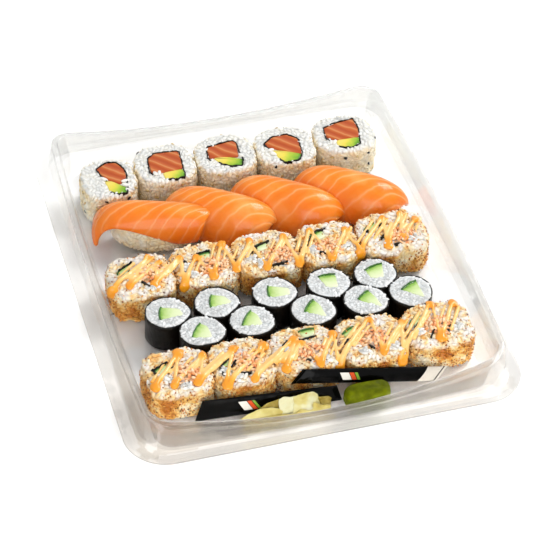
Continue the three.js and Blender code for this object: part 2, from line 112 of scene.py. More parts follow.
def srgb(code):
    """A hex colour as linear light."""
    channels = [int(code[i : i + 2], 16) / 255 for i in (1, 3, 5)]
    return (*[c / 12.92 if c <= 0.04045 else ((c + 0.055) / 1.055) ** 2.4 for c in channels], 1.0)


def add(tree, kind, settings=None, links=None):
    """Adds a node. Settings are its own properties, its sockets' values, or a ramp's stops."""
    made = tree.nodes.new("ShaderNode" + kind)
    for name, value in (settings or {}).items():
        if name == "stops":
            ramp = made.color_ramp.elements
            while len(ramp) < len(value):
                ramp.new(0.5)
            for stop, (place, code) in zip(ramp, value):
                stop.position = place
                stop.color = srgb(code)
        elif isinstance(name, int) or name in made.inputs:
            made.inputs[name].default_value = value
        else:
            setattr(made, name, value)
    for name, socket in (links or {}).items():
        tree.links.new(socket, made.inputs[name])
    return made


def per(size):
    """The scale at which a pattern repeats about every so many millimetres."""
    return 1 / (size * MM)


def new_finish(name, settings):
    """A material with one Principled surface. Returns it, its tree, its surface and its places."""
    made = bpy.data.materials.new(name)
    made.use_nodes = True
    tree = made.node_tree
    surface = tree.nodes["Principled BSDF"]
    surface.inputs["Subsurface Radius"].default_value = (1.0, 0.95, 0.9)
    for socket, value in settings.items():
        surface.inputs[socket].default_value = value
    places = add(tree, "TexCoord").outputs["Object"]
    return made, tree, surface, places


def mottle(tree, places, size, stops, detail=3.0):
    """Soft blotches of about one size, through a ramp of colours."""
    blotches = add(tree, "TexNoise", {"Scale": per(size), "Detail": detail}, {"Vector": places})
    return add(tree, "ValToRGB", {"stops": stops}, {"Fac": blotches.outputs["Fac"]})


def relief(tree, surface, height, depth):
    """Small bumps of a height pattern, so many millimetres deep."""
    bump = add(tree, "Bump", {"Strength": 1.0, "Distance": depth * MM}, {"Height": height})
    tree.links.new(bump.outputs["Normal"], surface.inputs["Normal"])


print("a pattern every 2 mm has the scale", per(2))

# %% [markdown]
# ## Rice
#
# Sushi rice is short-grain rice, boiled, dressed with vinegar and cooled. Each grain is a soft
# starch gel: it is moist, so it shines a little, and light enters it and leaves beside the point
# where it came in. That is subsurface scattering. The dressing on it has nearly the IOR of water.
# One finish is for plain rice, one for the cut faces of the thin rolls, and one for rice that was
# rolled in spice. Two of them change with the height, since a cut face differs from a side.

# %% Rice finishes
BACK_TOP = box_of("salmon_avocado_roll_1")[1].z
DRIZZLED_TOP = box_of("cucumber_roll_1")[1].z + 1.0  # their solids go on up into the sauce


def by_height(tree, places, low, high, below, above):
    """One colour below a height and another above it, in millimetres, with a soft change."""
    spot = add(tree, "SeparateXYZ", {}, {0: places})
    span = {"From Min": low * MM, "From Max": high * MM}
    share = add(tree, "MapRange", span, {"Value": spot.outputs["Z"]})
    links = {"Factor": share.outputs["Result"], 6: below.outputs["Color"], 7: above.outputs["Color"]}
    return add(tree, "Mix", {"data_type": "RGBA"}, links).outputs[2]


# The outside is creamier, and the cut face a cooler white.
rice, tree, surface, places = new_finish(
    "boiled_rice",
    {"Roughness": 0.42, "IOR": 1.36, "Subsurface Weight": 0.6, "Subsurface Scale": 2.5 * MM},
)
sides = mottle(tree, places, 7, [(0.3, "#FCF4E0"), (0.5, "#FBEAC8"), (0.68, "#F6D9A8")])
face = mottle(tree, places, 5, [(0.3, "#E9E9E4"), (0.5, "#F3F1EA"), (0.7, "#FAF6EA")])
creamy = by_height(tree, places, BACK_TOP - 2.2, BACK_TOP - 0.8, sides, face)
tree.links.new(creamy, surface.inputs["Base Color"])

# The rice of the thin rolls is painted whiter and cooler: a painted reflection of the sky that its cut face
# looks up at.
cool_rice, tree, surface, places = new_finish(
    "boiled_rice_cut_sky_tinted",
    {"Roughness": 0.36, "IOR": 1.36, "Subsurface Weight": 0.6, "Subsurface Scale": 2.5 * MM},
)
tone = mottle(tree, places, 4, [(0.3, "#EEF3F3"), (0.5, "#F7F9F7"), (0.7, "#FDFDFA")])
tree.links.new(tone.outputs["Color"], surface.inputs["Base Color"])

# Rice rolled in spice crumbs takes their colour: golden on the sides, paler and pinker on the face.
spiced_rice, tree, surface, places = new_finish(
    "rice_rolled_in_spice",
    {"Roughness": 0.42, "IOR": 1.36, "Subsurface Weight": 0.5, "Subsurface Scale": 2.0 * MM},
)
spice_stops = [(0.36, "#F6E6C4"), (0.46, "#F3D090"), (0.56, "#E3A650"), (0.66, "#BC7228")]
sides = mottle(tree, places, 10, spice_stops, 4.0)
face = mottle(tree, places, 6, [(0.4, "#F5EDE4"), (0.5, "#FAE8C8"), (0.6, "#FBD294"), (0.7, "#EEAA58")])
golden = by_height(tree, places, DRIZZLED_TOP - 4.5, DRIZZLED_TOP - 0.8, sides, face)
tree.links.new(golden, surface.inputs["Base Color"])
print("rice finishes:", rice.name, cool_rice.name, spiced_rice.name)

# %% [markdown]
# ## Seaweed, sauce, seeds and crumbs
#
# Nori is seaweed dried in thin sheets: nearly black with a warm cast, and wrinkled at the scale of
# a millimetre or two. The sauce is a thick emulsion, so it is opaque, orange and glossy. Spice
# crumbs are dry and matt, and toasted sesame has a little shine from its oil.

# %% Seaweed and sauce finishes
# Pressing and drying leave the sheet smooth enough for a dull shine, with fine wrinkles across it.
nori, tree, surface, places = new_finish("pressed_nori", {"Roughness": 0.36, "IOR": 1.35})
tone = mottle(tree, places, 3, [(0.3, "#060403"), (0.6, "#0F0B07"), (0.8, "#20170D")])
tree.links.new(tone.outputs["Color"], surface.inputs["Base Color"])
upright = add(tree, "Mapping", {"Scale": (1.0, 1.0, 0.35)}, {"Vector": places})
wrinkle = add(
    tree,
    "TexNoise",
    {"Scale": per(2.2), "Detail": 4.0, "Distortion": 0.6},
    {"Vector": upright.outputs["Vector"]},
)
relief(tree, surface, wrinkle.outputs["Fac"], 0.5)

# Whisked oil makes it opaque and glossy. It is paler where it is thin, and a deep orange in pools.
sauce, tree, surface, places = new_finish(
    "thick_orange_sauce",
    {"Roughness": 0.28, "IOR": 1.45, "Coat Weight": 0.4, "Coat Roughness": 0.18, "Coat IOR": 1.45},
)
depth = add(tree, "Attribute", {"attribute_name": "depth"})
uneven = add(tree, "TexNoise", {"Scale": per(5), "Detail": 2.0}, {"Vector": places})
lift = add(tree, "Math", {"operation": "MULTIPLY_ADD", 1: 0.6, 2: -0.3}, {0: uneven.outputs["Fac"]})
deeper = add(tree, "Math", {"operation": "ADD"}, {0: depth.outputs["Fac"], 1: lift.outputs[0]})
tone = add(
    tree,
    "ValToRGB",
    {"stops": [(0.0, "#F8CA7C"), (0.35, "#F6B652"), (0.7, "#F4A42A"), (1.0, "#F09814")]},
    {"Fac": deeper.outputs[0]},
)
tree.links.new(tone.outputs["Color"], surface.inputs["Base Color"])
print("glossy finishes:", nori.name, sauce.name)

# %% Seasoning finishes
# Grinding leaves dry crumbs without any shine, and no two of them have quite the same colour.
crumbs, tree, surface, places = new_finish("ground_spice", {"Roughness": 0.7})
crumb_stops = [(0.34, "#5C3014"), (0.42, "#A45A22"), (0.52, "#CC7E2E"), (0.66, "#E6AC54")]
tone = mottle(tree, places, 2.2, crumb_stops, 1.0)
tree.links.new(tone.outputs["Color"], surface.inputs["Base Color"])

# Toasting turns the hulled seed straw-coloured.
pale_sesame, tree, surface, places = new_finish("toasted_sesame", {"Roughness": 0.5})
tone = mottle(tree, places, 3, [(0.35, "#B99A5C"), (0.6, "#DCC58C"), (0.8, "#E9DAB0")], 1.0)
tree.links.new(tone.outputs["Color"], surface.inputs["Base Color"])

# Black sesame is left in its dark hull.
black_sesame, tree, surface, places = new_finish("black_sesame", {"Roughness": 0.45})
tone = mottle(tree, places, 3, [(0.4, "#120F0D"), (0.7, "#2C211A")], 1.0)
tree.links.new(tone.outputs["Color"], surface.inputs["Base Color"])
print("seasoning finishes:", crumbs.name, pale_sesame.name, black_sesame.name)

# %% [markdown]
# ## Salmon, avocado, cucumber and crab paste
#
# These are all wet cut flesh. Salmon is orange muscle with thin pale sheets of fat between its
# flakes. On a nigiri slice the sheets show as curved lines about 9 mm apart, so the slice carries
# its own UV map, with u along it and v across, and the lines are drawn in that map: they keep
# their place as the slice drapes. The same is done for the avocado, whose green fades to yellow
# away from the skin, and for the cucumber, whose green deepens towards it.

# %% Finish of the salmon slices
FAT_SPACING = 8.6  # between fat lines, along a slice
SLICE_LENGTH = 80.0  # along the curve of the slice, from end to end
LINE_SLANT = 19.0  # how far a line runs along the slice while it crosses it
LINE_CURVE = 15.0  # how much further it runs the nearer it gets to the back edge

# The knife leaves a smooth wet cut, so a clear gloss lies over soft orange flesh.
salmon, tree, surface, places = new_finish(
    "raw_salmon",
    {
        "Roughness": 0.4,
        "IOR": 1.36,
        "Specular IOR Level": 0.2,
        "Subsurface Weight": 0.15,
        "Subsurface Scale": 1.5 * MM,
        "Subsurface Radius": (1.0, 0.45, 0.2),
        "Coat Weight": 0.6,
        "Coat Roughness": 0.14,
        "Coat IOR": 1.4,
    },
)
on_slice = add(tree, "SeparateXYZ", {}, {0: add(tree, "UVMap", {"uv_map": "slice"}).outputs["UV"]})
u, v = on_slice.outputs["X"], on_slice.outputs["Y"]
wobble = add(tree, "TexNoise", {"Scale": per(16), "Detail": 2.0}, {"Vector": places})
along = add(tree, "Math", {"operation": "MULTIPLY", 1: SLICE_LENGTH / FAT_SPACING}, {0: u})
slant = add(tree, "Math", {"operation": "MULTIPLY", 1: LINE_SLANT / FAT_SPACING}, {0: v})
square = add(tree, "Math", {"operation": "POWER", 1: 2.0}, {0: v})
curve = add(tree, "Math", {"operation": "MULTIPLY", 1: LINE_CURVE / FAT_SPACING}, {0: square.outputs[0]})
straight = add(tree, "Math", {"operation": "SUBTRACT"}, {0: along.outputs[0], 1: slant.outputs[0]})
bent = add(tree, "Math", {"operation": "SUBTRACT"}, {0: straight.outputs[0], 1: curve.outputs[0]})
phase = add(tree, "Math", {"operation": "ADD"}, {0: bent.outputs[0], 1: wobble.outputs["Fac"]})
flake = add(tree, "Math", {"operation": "PINGPONG", 1: 0.5}, {0: phase.outputs[0]})
stripes = add(
    tree,
    "ValToRGB",
    {"stops": [(0.0, "#FFC88E"), (0.05, "#FEB46A"), (0.15, "#F59136"), (0.5, "#F38418"), (1.0, "#F38418")]},
    {"Fac": flake.outputs[0]},
)
body = mottle(tree, places, 20, [(0.34, "#E46800"), (0.5, "#F18410"), (0.66, "#FCB062")], 3.0)
flesh = add(
    tree, "Mix", {"data_type": "RGBA", 0: 0.45}, {6: stripes.outputs["Color"], 7: body.outputs["Color"]}
)
# The hanging front of a slice is painted a deeper orange, as painted shade on the side that falls away from
# the light.
hanging = add(tree, "MapRange", {"From Min": 0.45, "From Max": 0.0, "To Max": 0.7}, {"Value": v})
deep = add(
    tree,
    "Mix",
    {"data_type": "RGBA", 7: srgb("#DA6410")},
    {"Factor": hanging.outputs["Result"], 6: flesh.outputs[2]},
)
tree.links.new(deep.outputs[2], surface.inputs["Base Color"])
grooves = add(tree, "Math", {"operation": "MINIMUM", 1: 0.16}, {0: flake.outputs[0]})
fibre = add(tree, "TexNoise", {"Scale": per(5), "Detail": 4.0}, {"Vector": places})
uneven = add(
    tree, "Math", {"operation": "MULTIPLY_ADD", 1: 0.5}, {0: fibre.outputs["Fac"], 2: grooves.outputs[0]}
)
relief(tree, surface, uneven.outputs[0], 1.2)
print("a slice shows about", round(SLICE_LENGTH / FAT_SPACING), "fat lines")

# %% Finishes of the back row's fillings
# The block in a back-row roll is cut across the fillet, and is browner from the dressing.
salmon_block, tree, surface, places = new_finish(
    "dressed_salmon",
    {"Roughness": 0.35, "IOR": 1.36},
)
waves = add(
    tree,
    "TexWave",
    {"Scale": per(14), "Distortion": 1.6, "Detail": 2.0, "Detail Scale": 1.2, "bands_direction": "DIAGONAL"},
    {"Vector": places},
)
tone = add(
    tree,
    "ValToRGB",
    {"stops": [(0.0, "#B04A1C"), (0.6, "#BE5C28"), (0.9, "#C66A34"), (0.99, "#D08550")]},
    {"Fac": waves.outputs["Fac"]},
)
tree.links.new(tone.outputs["Color"], surface.inputs["Base Color"])
relief(tree, surface, waves.outputs["Fac"], 0.2)

# Ripe avocado is soft and greasy, so a cut is smooth and shines.
avocado, tree, surface, places = new_finish(
    "ripe_avocado",
    {"Roughness": 0.32, "IOR": 1.45, "Subsurface Weight": 0.15, "Subsurface Scale": 1.5 * MM},
)
across = add(tree, "SeparateXYZ", {}, {0: add(tree, "UVMap", {"uv_map": "cut"}).outputs["UV"]})
soft = add(tree, "TexNoise", {"Scale": per(4), "Detail": 2.0}, {"Vector": places})
lift = add(tree, "Math", {"operation": "MULTIPLY_ADD", 1: 0.35, 2: -0.17}, {0: soft.outputs["Fac"]})
depth = add(tree, "Math", {"operation": "ADD"}, {0: across.outputs["Y"], 1: lift.outputs[0]})
tone = add(
    tree,
    "ValToRGB",
    {"stops": [(0.0, "#2E6410"), (0.14, "#70AA22"), (0.36, "#B6C93A"), (0.6, "#E9D650"), (1.0, "#F0DC74")]},
    {"Fac": depth.outputs[0]},
)
tree.links.new(tone.outputs["Color"], surface.inputs["Base Color"])
print("back row fillings:", salmon_block.name, avocado.name)

# %% Cucumber and crab finishes
# A fresh cut is wet and a little clear. It is nearly white at the seeds and green under the skin.
cucumber, tree, surface, places = new_finish(
    "cut_cucumber",
    {"Roughness": 0.3, "IOR": 1.36, "Subsurface Weight": 0.2, "Subsurface Scale": 1.5 * MM},
)
from_far_side = add(tree, "SeparateXYZ", {}, {0: add(tree, "UVMap", {"uv_map": "cut"}).outputs["UV"]})
seeds = add(tree, "TexNoise", {"Scale": per(2.5), "Detail": 2.0}, {"Vector": places})
lift = add(tree, "Math", {"operation": "MULTIPLY_ADD", 1: 0.3, 2: -0.15}, {0: seeds.outputs["Fac"]})
depth = add(tree, "Math", {"operation": "ADD"}, {0: from_far_side.outputs["Y"], 1: lift.outputs[0]})
tone = add(
    tree,
    "ValToRGB",
    {"stops": [(0.0, "#E6EDCA"), (0.45, "#D8E6B2"), (0.74, "#BAD484"), (0.9, "#88B64A"), (1.0, "#578C28")]},
    {"Fac": depth.outputs[0]},
)
tree.links.new(tone.outputs["Color"], surface.inputs["Base Color"])

# The skin grows its own wax, so it is smooth and dark.
cucumber_skin, tree, surface, places = new_finish("cucumber_skin", {"Roughness": 0.3, "IOR": 1.45})
tone = mottle(tree, places, 3, [(0.35, "#245216"), (0.6, "#3A721E"), (0.8, "#56902E")])
tree.links.new(tone.outputs["Color"], surface.inputs["Base Color"])

# Steamed fish paste is springy and lets light in. Tearing it mixes its dyed and its white parts.
crab_paste, tree, surface, places = new_finish(
    "shredded_crab_paste",
    {"Roughness": 0.38, "IOR": 1.4, "Subsurface Weight": 0.4, "Subsurface Scale": 1.5 * MM},
)
paste_stops = [(0.34, "#E0905A"), (0.43, "#EFAA76"), (0.53, "#F8C496"), (0.66, "#FCDCB8")]
tone = mottle(tree, places, 2.6, paste_stops, 1.0)
tree.links.new(tone.outputs["Color"], surface.inputs["Base Color"])
print("other fillings:", cucumber.name, cucumber_skin.name, crab_paste.name)

# %% [markdown]
# ## Film, ginger, wasabi and the clear tray
#
# The tray is thermoformed from a clear sheet. Real glass shading suits it: light is bent and
# mirrored at each face, and a faint grey tint in the sheet adds up where several layers lie behind
# each other, which is what draws the rim. Shade and a reflection of the dark room are painted into
# the tint as well: it is darker at the front left, turned away from the light, darker on the rim
# than on the floor, and darkest in the steep skirt. Pickled ginger is shaved so thin that light
# passes through it, and wasabi is a dense matt paste.

# %% Clear plastic
TINT_FRONT, TINT_BACK = -150, 20  # where the painted shade at the front ends and the lighter back starts, in mm
TINT_SIDEWAYS = 0.6  # a millimetre to the right counts this much of one towards the back
RIPPLE = 26  # size of the soft waves in the sheet, in mm


def clear_sheet(name, front, back):
    """Thin clear plastic. Its grey colour, with painted shade in it, goes over from one at the tray's front
    left to one at the back.
    """
    glass = {"Roughness": 0.05, "IOR": 1.45, "Transmission Weight": 1.0}
    made, tree, surface, places = new_finish(name, glass)
    # Painted shade and painted reflection of the dark room: the colour darkens towards the front left.
    place = add(tree, "SeparateXYZ", {}, {"Vector": places})
    slope = {"operation": "MULTIPLY_ADD", 1: TINT_SIDEWAYS}
    across = add(tree, "Math", slope, {0: place.outputs["X"], 2: place.outputs["Y"]})
    span = {"From Min": TINT_FRONT * MM, "From Max": TINT_BACK * MM}
    depth = add(tree, "MapRange", span, {"Value": across.outputs["Value"]})
    tints = {"data_type": "RGBA", 6: srgb(front), 7: srgb(back)}
    tint = add(tree, "Mix", tints, {"Factor": depth.outputs["Result"]})
    tree.links.new(tint.outputs[2], surface.inputs["Base Color"])
    ripple = add(tree, "TexNoise", {"Scale": per(RIPPLE), "Detail": 2.0}, {"Vector": places})
    relief(tree, surface, ripple.outputs["Fac"], 0.5)
    # Part of the light passes straight, and the rays that look for the lamps all do.
    open_way = add(tree, "BsdfTransparent", {}, {"Color": tint.outputs[2]})
    to_lamps = add(tree, "BsdfTransparent", {"Color": srgb("#FFFFFF")})
    thin = add(tree, "MixShader", {0: 0.4}, {1: surface.outputs["BSDF"], 2: open_way.outputs["BSDF"]})
    kind_of_ray = add(tree, "LightPath")
    passing = add(
        tree,
        "MixShader",
        {},
        {0: kind_of_ray.outputs["Is Shadow Ray"], 1: thin.outputs["Shader"], 2: to_lamps.outputs["BSDF"]},
    )
    tree.links.new(passing.outputs["Shader"], tree.nodes["Material Output"].inputs["Surface"])
    return made


# Each plastic's grey tint carries painted shade: the rim's is darker than the floor's, the skirt's darker
# still.
clear_floor = clear_sheet("clear_sheet_floor", "#FBFAF9", "#FEFEFE")
clear_rim = clear_sheet("clear_sheet_rim", "#EEECE9", "#FBFBFA")
clear_skirt = clear_sheet("clear_sheet_skirt", "#E0DCD6", "#FBFBFA")
print("clear plastics:", clear_floor.name, clear_rim.name, clear_skirt.name)

# %% Ginger and wasabi finishes
# Pickling turns the shaved root yellowish, wet and half clear. Some slices are paler than others at random,
# and the ones behind or under others are painted darker, as painted shade.
ginger, tree, surface, places = new_finish(
    "pickled_ginger",
    {
        "Roughness": 0.28,
        "IOR": 1.36,
        "Alpha": 0.86,
        "Subsurface Weight": 0.5,
        "Subsurface Scale": 1.5 * MM,
        "Subsurface Radius": (1.0, 0.9, 0.5),
    },
)
# How pale and lit a slice is; its low values are painted shade.
pale = add(tree, "Attribute", {"attribute_name": "pale"})
patches = add(tree, "TexNoise", {"Scale": per(6), "Detail": 2.0}, {"Vector": places})
shade = add(tree, "Math", {"operation": "MULTIPLY_ADD", 1: 1.2, 2: -0.6}, {0: patches.outputs["Fac"]})
shade = add(tree, "Math", {"operation": "ADD"}, {0: pale.outputs["Fac"], 1: shade.outputs["Value"]})
tone = add(
    tree,
    "ValToRGB",
    {"stops": [(0.0, "#8E7A2C"), (0.35, "#CDB864"), (0.65, "#E2D48C"), (1.0, "#EEEABE")]},
    {"Fac": shade.outputs["Value"]},
)
tree.links.new(tone.outputs["Color"], surface.inputs["Base Color"])
fibre = add(tree, "TexNoise", {"Scale": per(1.4), "Detail": 3.0}, {"Vector": places})
relief(tree, surface, fibre.outputs["Fac"], 0.25)

# Powder stirred with water dries on the outside, so the paste is nearly matt.
wasabi, tree, surface, places = new_finish(
    "wasabi_paste",
    {"Roughness": 0.5, "IOR": 1.36, "Specular IOR Level": 0.12},
)
tone = mottle(tree, places, 6, [(0.3, "#485000"), (0.5, "#5F6800"), (0.7, "#758006")])
tree.links.new(tone.outputs["Color"], surface.inputs["Base Color"])
paste = add(tree, "TexNoise", {"Scale": per(1.6), "Detail": 3.0}, {"Vector": places})
relief(tree, surface, paste.outputs["Fac"], 0.2)
print("garnish finishes:", ginger.name, wasabi.name)

# %% [markdown]
# ## Scattering
#
# Thousands of grains can't be placed by hand. They are laid like seeds thrown on a surface: a point
# is drawn at random on the shape, and kept if no kept point is nearer than the spacing. Then one
# small grain is copied to each kept point, turned a random way in the surface. The draw starts
# from a seed and takes the triangles in a sorted order, so the platter comes out the same each
# time.

# %% Points on a surface
TRIES = 7  # points drawn for each one that there is room for
SORTING = Vector((0.755, 0.57, 0.324))  # the faces are taken in their order along this direction


def in_order(bm):
    """The triangles of a shape, always in the same order and from the same corner."""
    made = []
    for f in bm.faces:
        ring = [v.co.copy() for v in f.verts]
        first = min(range(len(ring)), key=lambda k: ring[k].dot(SORTING))
        ring = ring[first:] + ring[:first]
        made += [(ring[0], b, c) for b, c in zip(ring[1:], ring[2:])]
    made.sort(key=lambda t: (t[0] + t[1] + t[2]).dot(SORTING))
    return np.array([[corner[:] for corner in t] for t in made])


def spots_on(bm, spacing, seed, accept):
    """Points spread over a shape with their normals, where accept(point, normal) is true."""
    draw = np.random.default_rng(seed)
    corners = in_order(bm)
    cross = np.cross(corners[:, 1] - corners[:, 0], corners[:, 2] - corners[:, 0])
    area = np.linalg.norm(cross, axis=1)
    tries = int(area.sum() / 2 / spacing**2 * TRIES)
    chosen = draw.choice(len(area), tries, p=area / area.sum())
    a, b = draw.random((2, tries))
    over = a + b > 1
    a[over], b[over] = 1 - a[over], 1 - b[over]
    base = corners[chosen]
    points = base[:, 0] + a[:, None] * (base[:, 1] - base[:, 0]) + b[:, None] * (base[:, 2] - base[:, 0])
    normals = cross[chosen] / area[chosen][:, None]
    kept, cells = [], {}
    for point, normal in zip(points, normals):
        cell = tuple((point // spacing).astype(int))
        if cell_taken(cells, cell, point, spacing) or not accept(point, normal):
            continue
        cells.setdefault(cell, []).append(point)
        kept.append((Vector(point), Vector(normal)))
    return kept


def cell_taken(cells, cell, point, spacing):
    """True if a kept point in this cell or one beside it is too near."""
    for dx in (-1, 0, 1):
        for dy in (-1, 0, 1):
            for dz in (-1, 0, 1):
                for other in cells.get((cell[0] + dx, cell[1] + dy, cell[2] + dz), ()):
                    if ((other - point) ** 2).sum() < spacing**2:
                        return True
    return False


print("points are drawn", TRIES, "times for each one that there is room for")

# %% Copies on the points
TRAY_FLOOR = 0.9  # nothing lies lower than the top of the tray's floor
GRAIN = (4.7, 2.6, 1.9)  # length, width and height of a boiled grain, pressed flat by the rolling
GRAIN_SPACING = 2.0


def laid(point, normal, size, rng, lift=0.0, tilt=0.12):
    """The placing of a grain: its long way lies in the surface, its short way along the normal."""
    loose = Vector([rng.uniform(-1, 1) for _ in range(3)])
    out = (normal + tilt * Vector([rng.uniform(-1, 1) for _ in range(3)])).normalized()
    long_way = out.cross(loose).normalized()
    turn = Matrix((long_way, out.cross(long_way), out)).transposed().to_4x4()
    grown = [s * rng.uniform(0.82, 1.15) for s in size]
    return Matrix.Translation(point + lift * normal) @ turn @ Matrix.Diagonal((*grown, 1))


def copies(name, seedling, placings, finishes, stands_for=(), kinds=None):
    """One piece made of a small shape copied to every placing. Kinds choose a finish for each."""
    bmesh.ops.triangulate(seedling, faces=seedling.faces)
    seedling.verts.index_update()
    shape = np.array([[*v.co, 1.0] for v in seedling.verts])
    faces = np.array([[v.index for v in f.verts] for f in seedling.faces])
    seedling.free()
    turns = np.array([np.array(m) for m in placings])
    points = np.einsum("nij,vj->nvi", turns, shape)[:, :, :3].reshape(-1, 3) * MM
    points[:, 2] = np.maximum(points[:, 2], TRAY_FLOOR * MM)
    ends = (faces[None] + (np.arange(len(placings)) * len(shape))[:, None, None]).reshape(-1, 3)
    mesh = bpy.data.meshes.new(name)
    mesh.from_pydata(points.tolist(), [], ends.tolist())
    if kinds is not None:
        mesh.polygons.foreach_set("material_index", np.repeat(kinds, len(faces)).astype(np.int32))
    made = settle(name, mesh, finishes, stands_for)
    print(name, len(placings), "copies,", len(ends), "triangles")
    return made


def grain():
    """One grain of rice, a unit long and a unit across, and bent a little. GRAIN makes it slim."""
    bm = bmesh.new()
    bmesh.ops.create_uvsphere(bm, u_segments=7, v_segments=5, radius=0.5)
    bmesh.ops.rotate(bm, verts=bm.verts, matrix=Matrix.Rotation(math.radians(90), 3, "Y"))
    for v in bm.verts:
        v.co.z += 0.35 * v.co.x * v.co.x
    return bm


print("a grain has", len(grain().faces), "faces")

# %% [markdown]
# ## The form of a roll
#
# Each roll's wall follows its solid: rays from its middle find how far the wall stands in every
# direction. A profile is then spun into a unit pillar and stretched to that outline. The pillar of
# rice is a little smaller than the roll, which leaves room for the grains on it.

# %% Roll form helpers
STEPS = 72  # directions round a roll
PROBES = (0.35, 0.5, 0.62)  # shares of the height at which the wall is measured
noise.seed_set(8)  # noise vectors start from a clock otherwise


class Wall:
    """A roll's outline, as a reach in every direction from its middle. Swell fills its corners."""

    def __init__(self, name, swell=0.0):
        self.low, self.high = box_of(name)
        self.x, self.y = (self.low.x + self.high.x) / 2, (self.low.y + self.high.y) / 2
        tree = BVHTree.FromObject(solids[name], bpy.context.evaluated_depsgraph_get())
        found = []
        for k in range(STEPS):
            angle = 2 * math.pi * k / STEPS
            ray = Vector((math.cos(angle), math.sin(angle), 0))
            heights = [self.low.z + share * (self.high.z - self.low.z) for share in PROBES]
            hits = [tree.ray_cast(Vector((self.x, self.y, z)) * MM, ray)[3] for z in heights]
            found.append(sum(hits) / len(hits) / MM)
        smooth = [sum(found[(k + j) % STEPS] for j in (-2, -1, 0, 1, 2)) / 5 for k in range(STEPS)]
        corner = [math.sin(4 * math.pi * k / STEPS) ** 2 for k in range(STEPS)]
        self.reach = [reach + swell * share for reach, share in zip(smooth, corner)]

    def at(self, angle):
        place = (angle / (2 * math.pi) % 1) * STEPS
        k = int(place)
        share = place - k
        return self.reach[k % STEPS] * (1 - share) + self.reach[(k + 1) % STEPS] * share


def pillar(wall, profile, inset, lump=0.0, steps=STEPS):
    """Spins a profile of (share of the reach, height) and stretches it to a roll's wall."""
    bm = bmesh.new()
    line = [bm.verts.new((share, 0, height)) for share, height in profile]
    edges = [bm.edges.new(pair) for pair in zip(line, line[1:])]
    bmesh.ops.spin(
        bm, geom=line + edges, axis=(0, 0, 1), cent=(0, 0, 0), steps=steps, angle=2 * math.pi, use_merge=True
    )
    bmesh.ops.remove_doubles(bm, verts=bm.verts, dist=1e-4)
    bmesh.ops.recalc_face_normals(bm, faces=bm.faces)
    for v in bm.verts:
        x, y = round(v.co.x, 5), round(v.co.y, 5)
        share, angle = math.hypot(x, y), math.atan2(y, x)
        reach = share * (wall.at(angle) - inset)
        spot = Vector((wall.x + reach * math.cos(angle), wall.y + reach * math.sin(angle), v.co.z))
        v.co = spot + lump * noise.noise_vector(spot / 4) * (share > 0.01)
    return bm


def rounded_profile(low, top, rounding=0.1, drop=1.6):
    """A pillar's side and faces with rounded edges."""
    return [
        (0, low),
        (0.5, low),
        (1 - rounding, low),
        (1 - 0.3 * rounding, low + 0.4 * drop),
        (1, low + drop),
        (1, (2 * low + top) / 3),
        (1, (low + 2 * top) / 3),
        (1, top - drop),
        (1 - 0.3 * rounding, top - 0.4 * drop),
        (1 - rounding, top),
        (0.75, top),
        (0.55, top),
        (0.35, top),
        (0.15, top),
        (0, top),
    ]


wall = Wall("front_roll_1")
print("front_roll_1 reaches", round(min(wall.reach), 1), "to", round(max(wall.reach), 1), "mm")

# %% [markdown]
# ## Fillings as cut slabs
#
# A filling is a bar that runs through the roll, so its end on the cut face is a flat slab with
# softened edges. Its outline is a few corners, rounded off by cutting them twice. A ribbon of nori
# goes round the fillings on edge.

# %% Slab and ribbon helpers
SLAB_DEPTH = 3.5  # how far a filling goes down into the roll


def softened(corners, rounds=2, cut=0.25):
    """A closed outline with its corners cut off and cut off again."""
    for _ in range(rounds):
        ring = zip(corners, corners[1:] + corners[:1])
        corners = [p.lerp(q, share) for p, q in ring for share in (cut, 1 - cut)]
    return corners


def slab(bm, corners, top, edge=0.7, finish=0, toward=None):
    """A slab with this outline and a softened upper edge. UV map "cut" runs along toward."""
    uv = bm.loops.layers.uv.get("cut") or bm.loops.layers.uv.new("cut")
    before = set(bm.faces)
    face = bm.faces.new([bm.verts.new((p.x, p.y, top - SLAB_DEPTH)) for p in corners])
    face.normal_update()
    if face.normal.z < 0:
        face.normal_flip()
    grown = bmesh.ops.extrude_face_region(bm, geom=[face])
    lid = [g for g in grown["geom"] if isinstance(g, bmesh.types.BMFace)][0]
    bmesh.ops.translate(bm, vec=(0, 0, SLAB_DEPTH - edge * 0.6), verts=lid.verts)
    bmesh.ops.inset_region(bm, faces=[lid], thickness=edge * 0.45, depth=edge * 0.45)
    bmesh.ops.inset_region(bm, faces=[lid], thickness=edge, depth=edge * 0.15)
    bmesh.ops.reverse_faces(bm, faces=[face])
    made = [f for f in bm.faces if f not in before]
    toward = toward or Vector((0, 1))
    reach = [toward.dot(p) for p in corners]
    for f in made:
        f.material_index = finish
        for loop in f.loops:
            share = (toward.dot(loop.vert.co.xy) - min(reach)) / (max(reach) - min(reach))
            loop[uv].uv = (0.5, share)


def ribbon(bm, path, low, high, thickness, wave=0.25, finish=0):
    """A thin band on edge along a path, a little ragged along its upper edge."""
    before = set(bm.faces)
    line = [bm.verts.new((p.x, p.y, low)) for p in path]
    edges = [bm.edges.new(pair) for pair in zip(line, line[1:])]
    grown = bmesh.ops.extrude_edge_only(bm, edges=edges)["geom"]
    for v in (g for g in grown if isinstance(g, bmesh.types.BMVert)):
        v.co.z = high + wave * noise.noise(v.co / 1.5)
    faces = [g for g in grown if isinstance(g, bmesh.types.BMFace)]
    bmesh.ops.recalc_face_normals(bm, faces=faces)
    bmesh.ops.solidify(bm, geom=faces, thickness=thickness)
    for f in bm.faces:
        if f not in before:
            f.material_index = finish


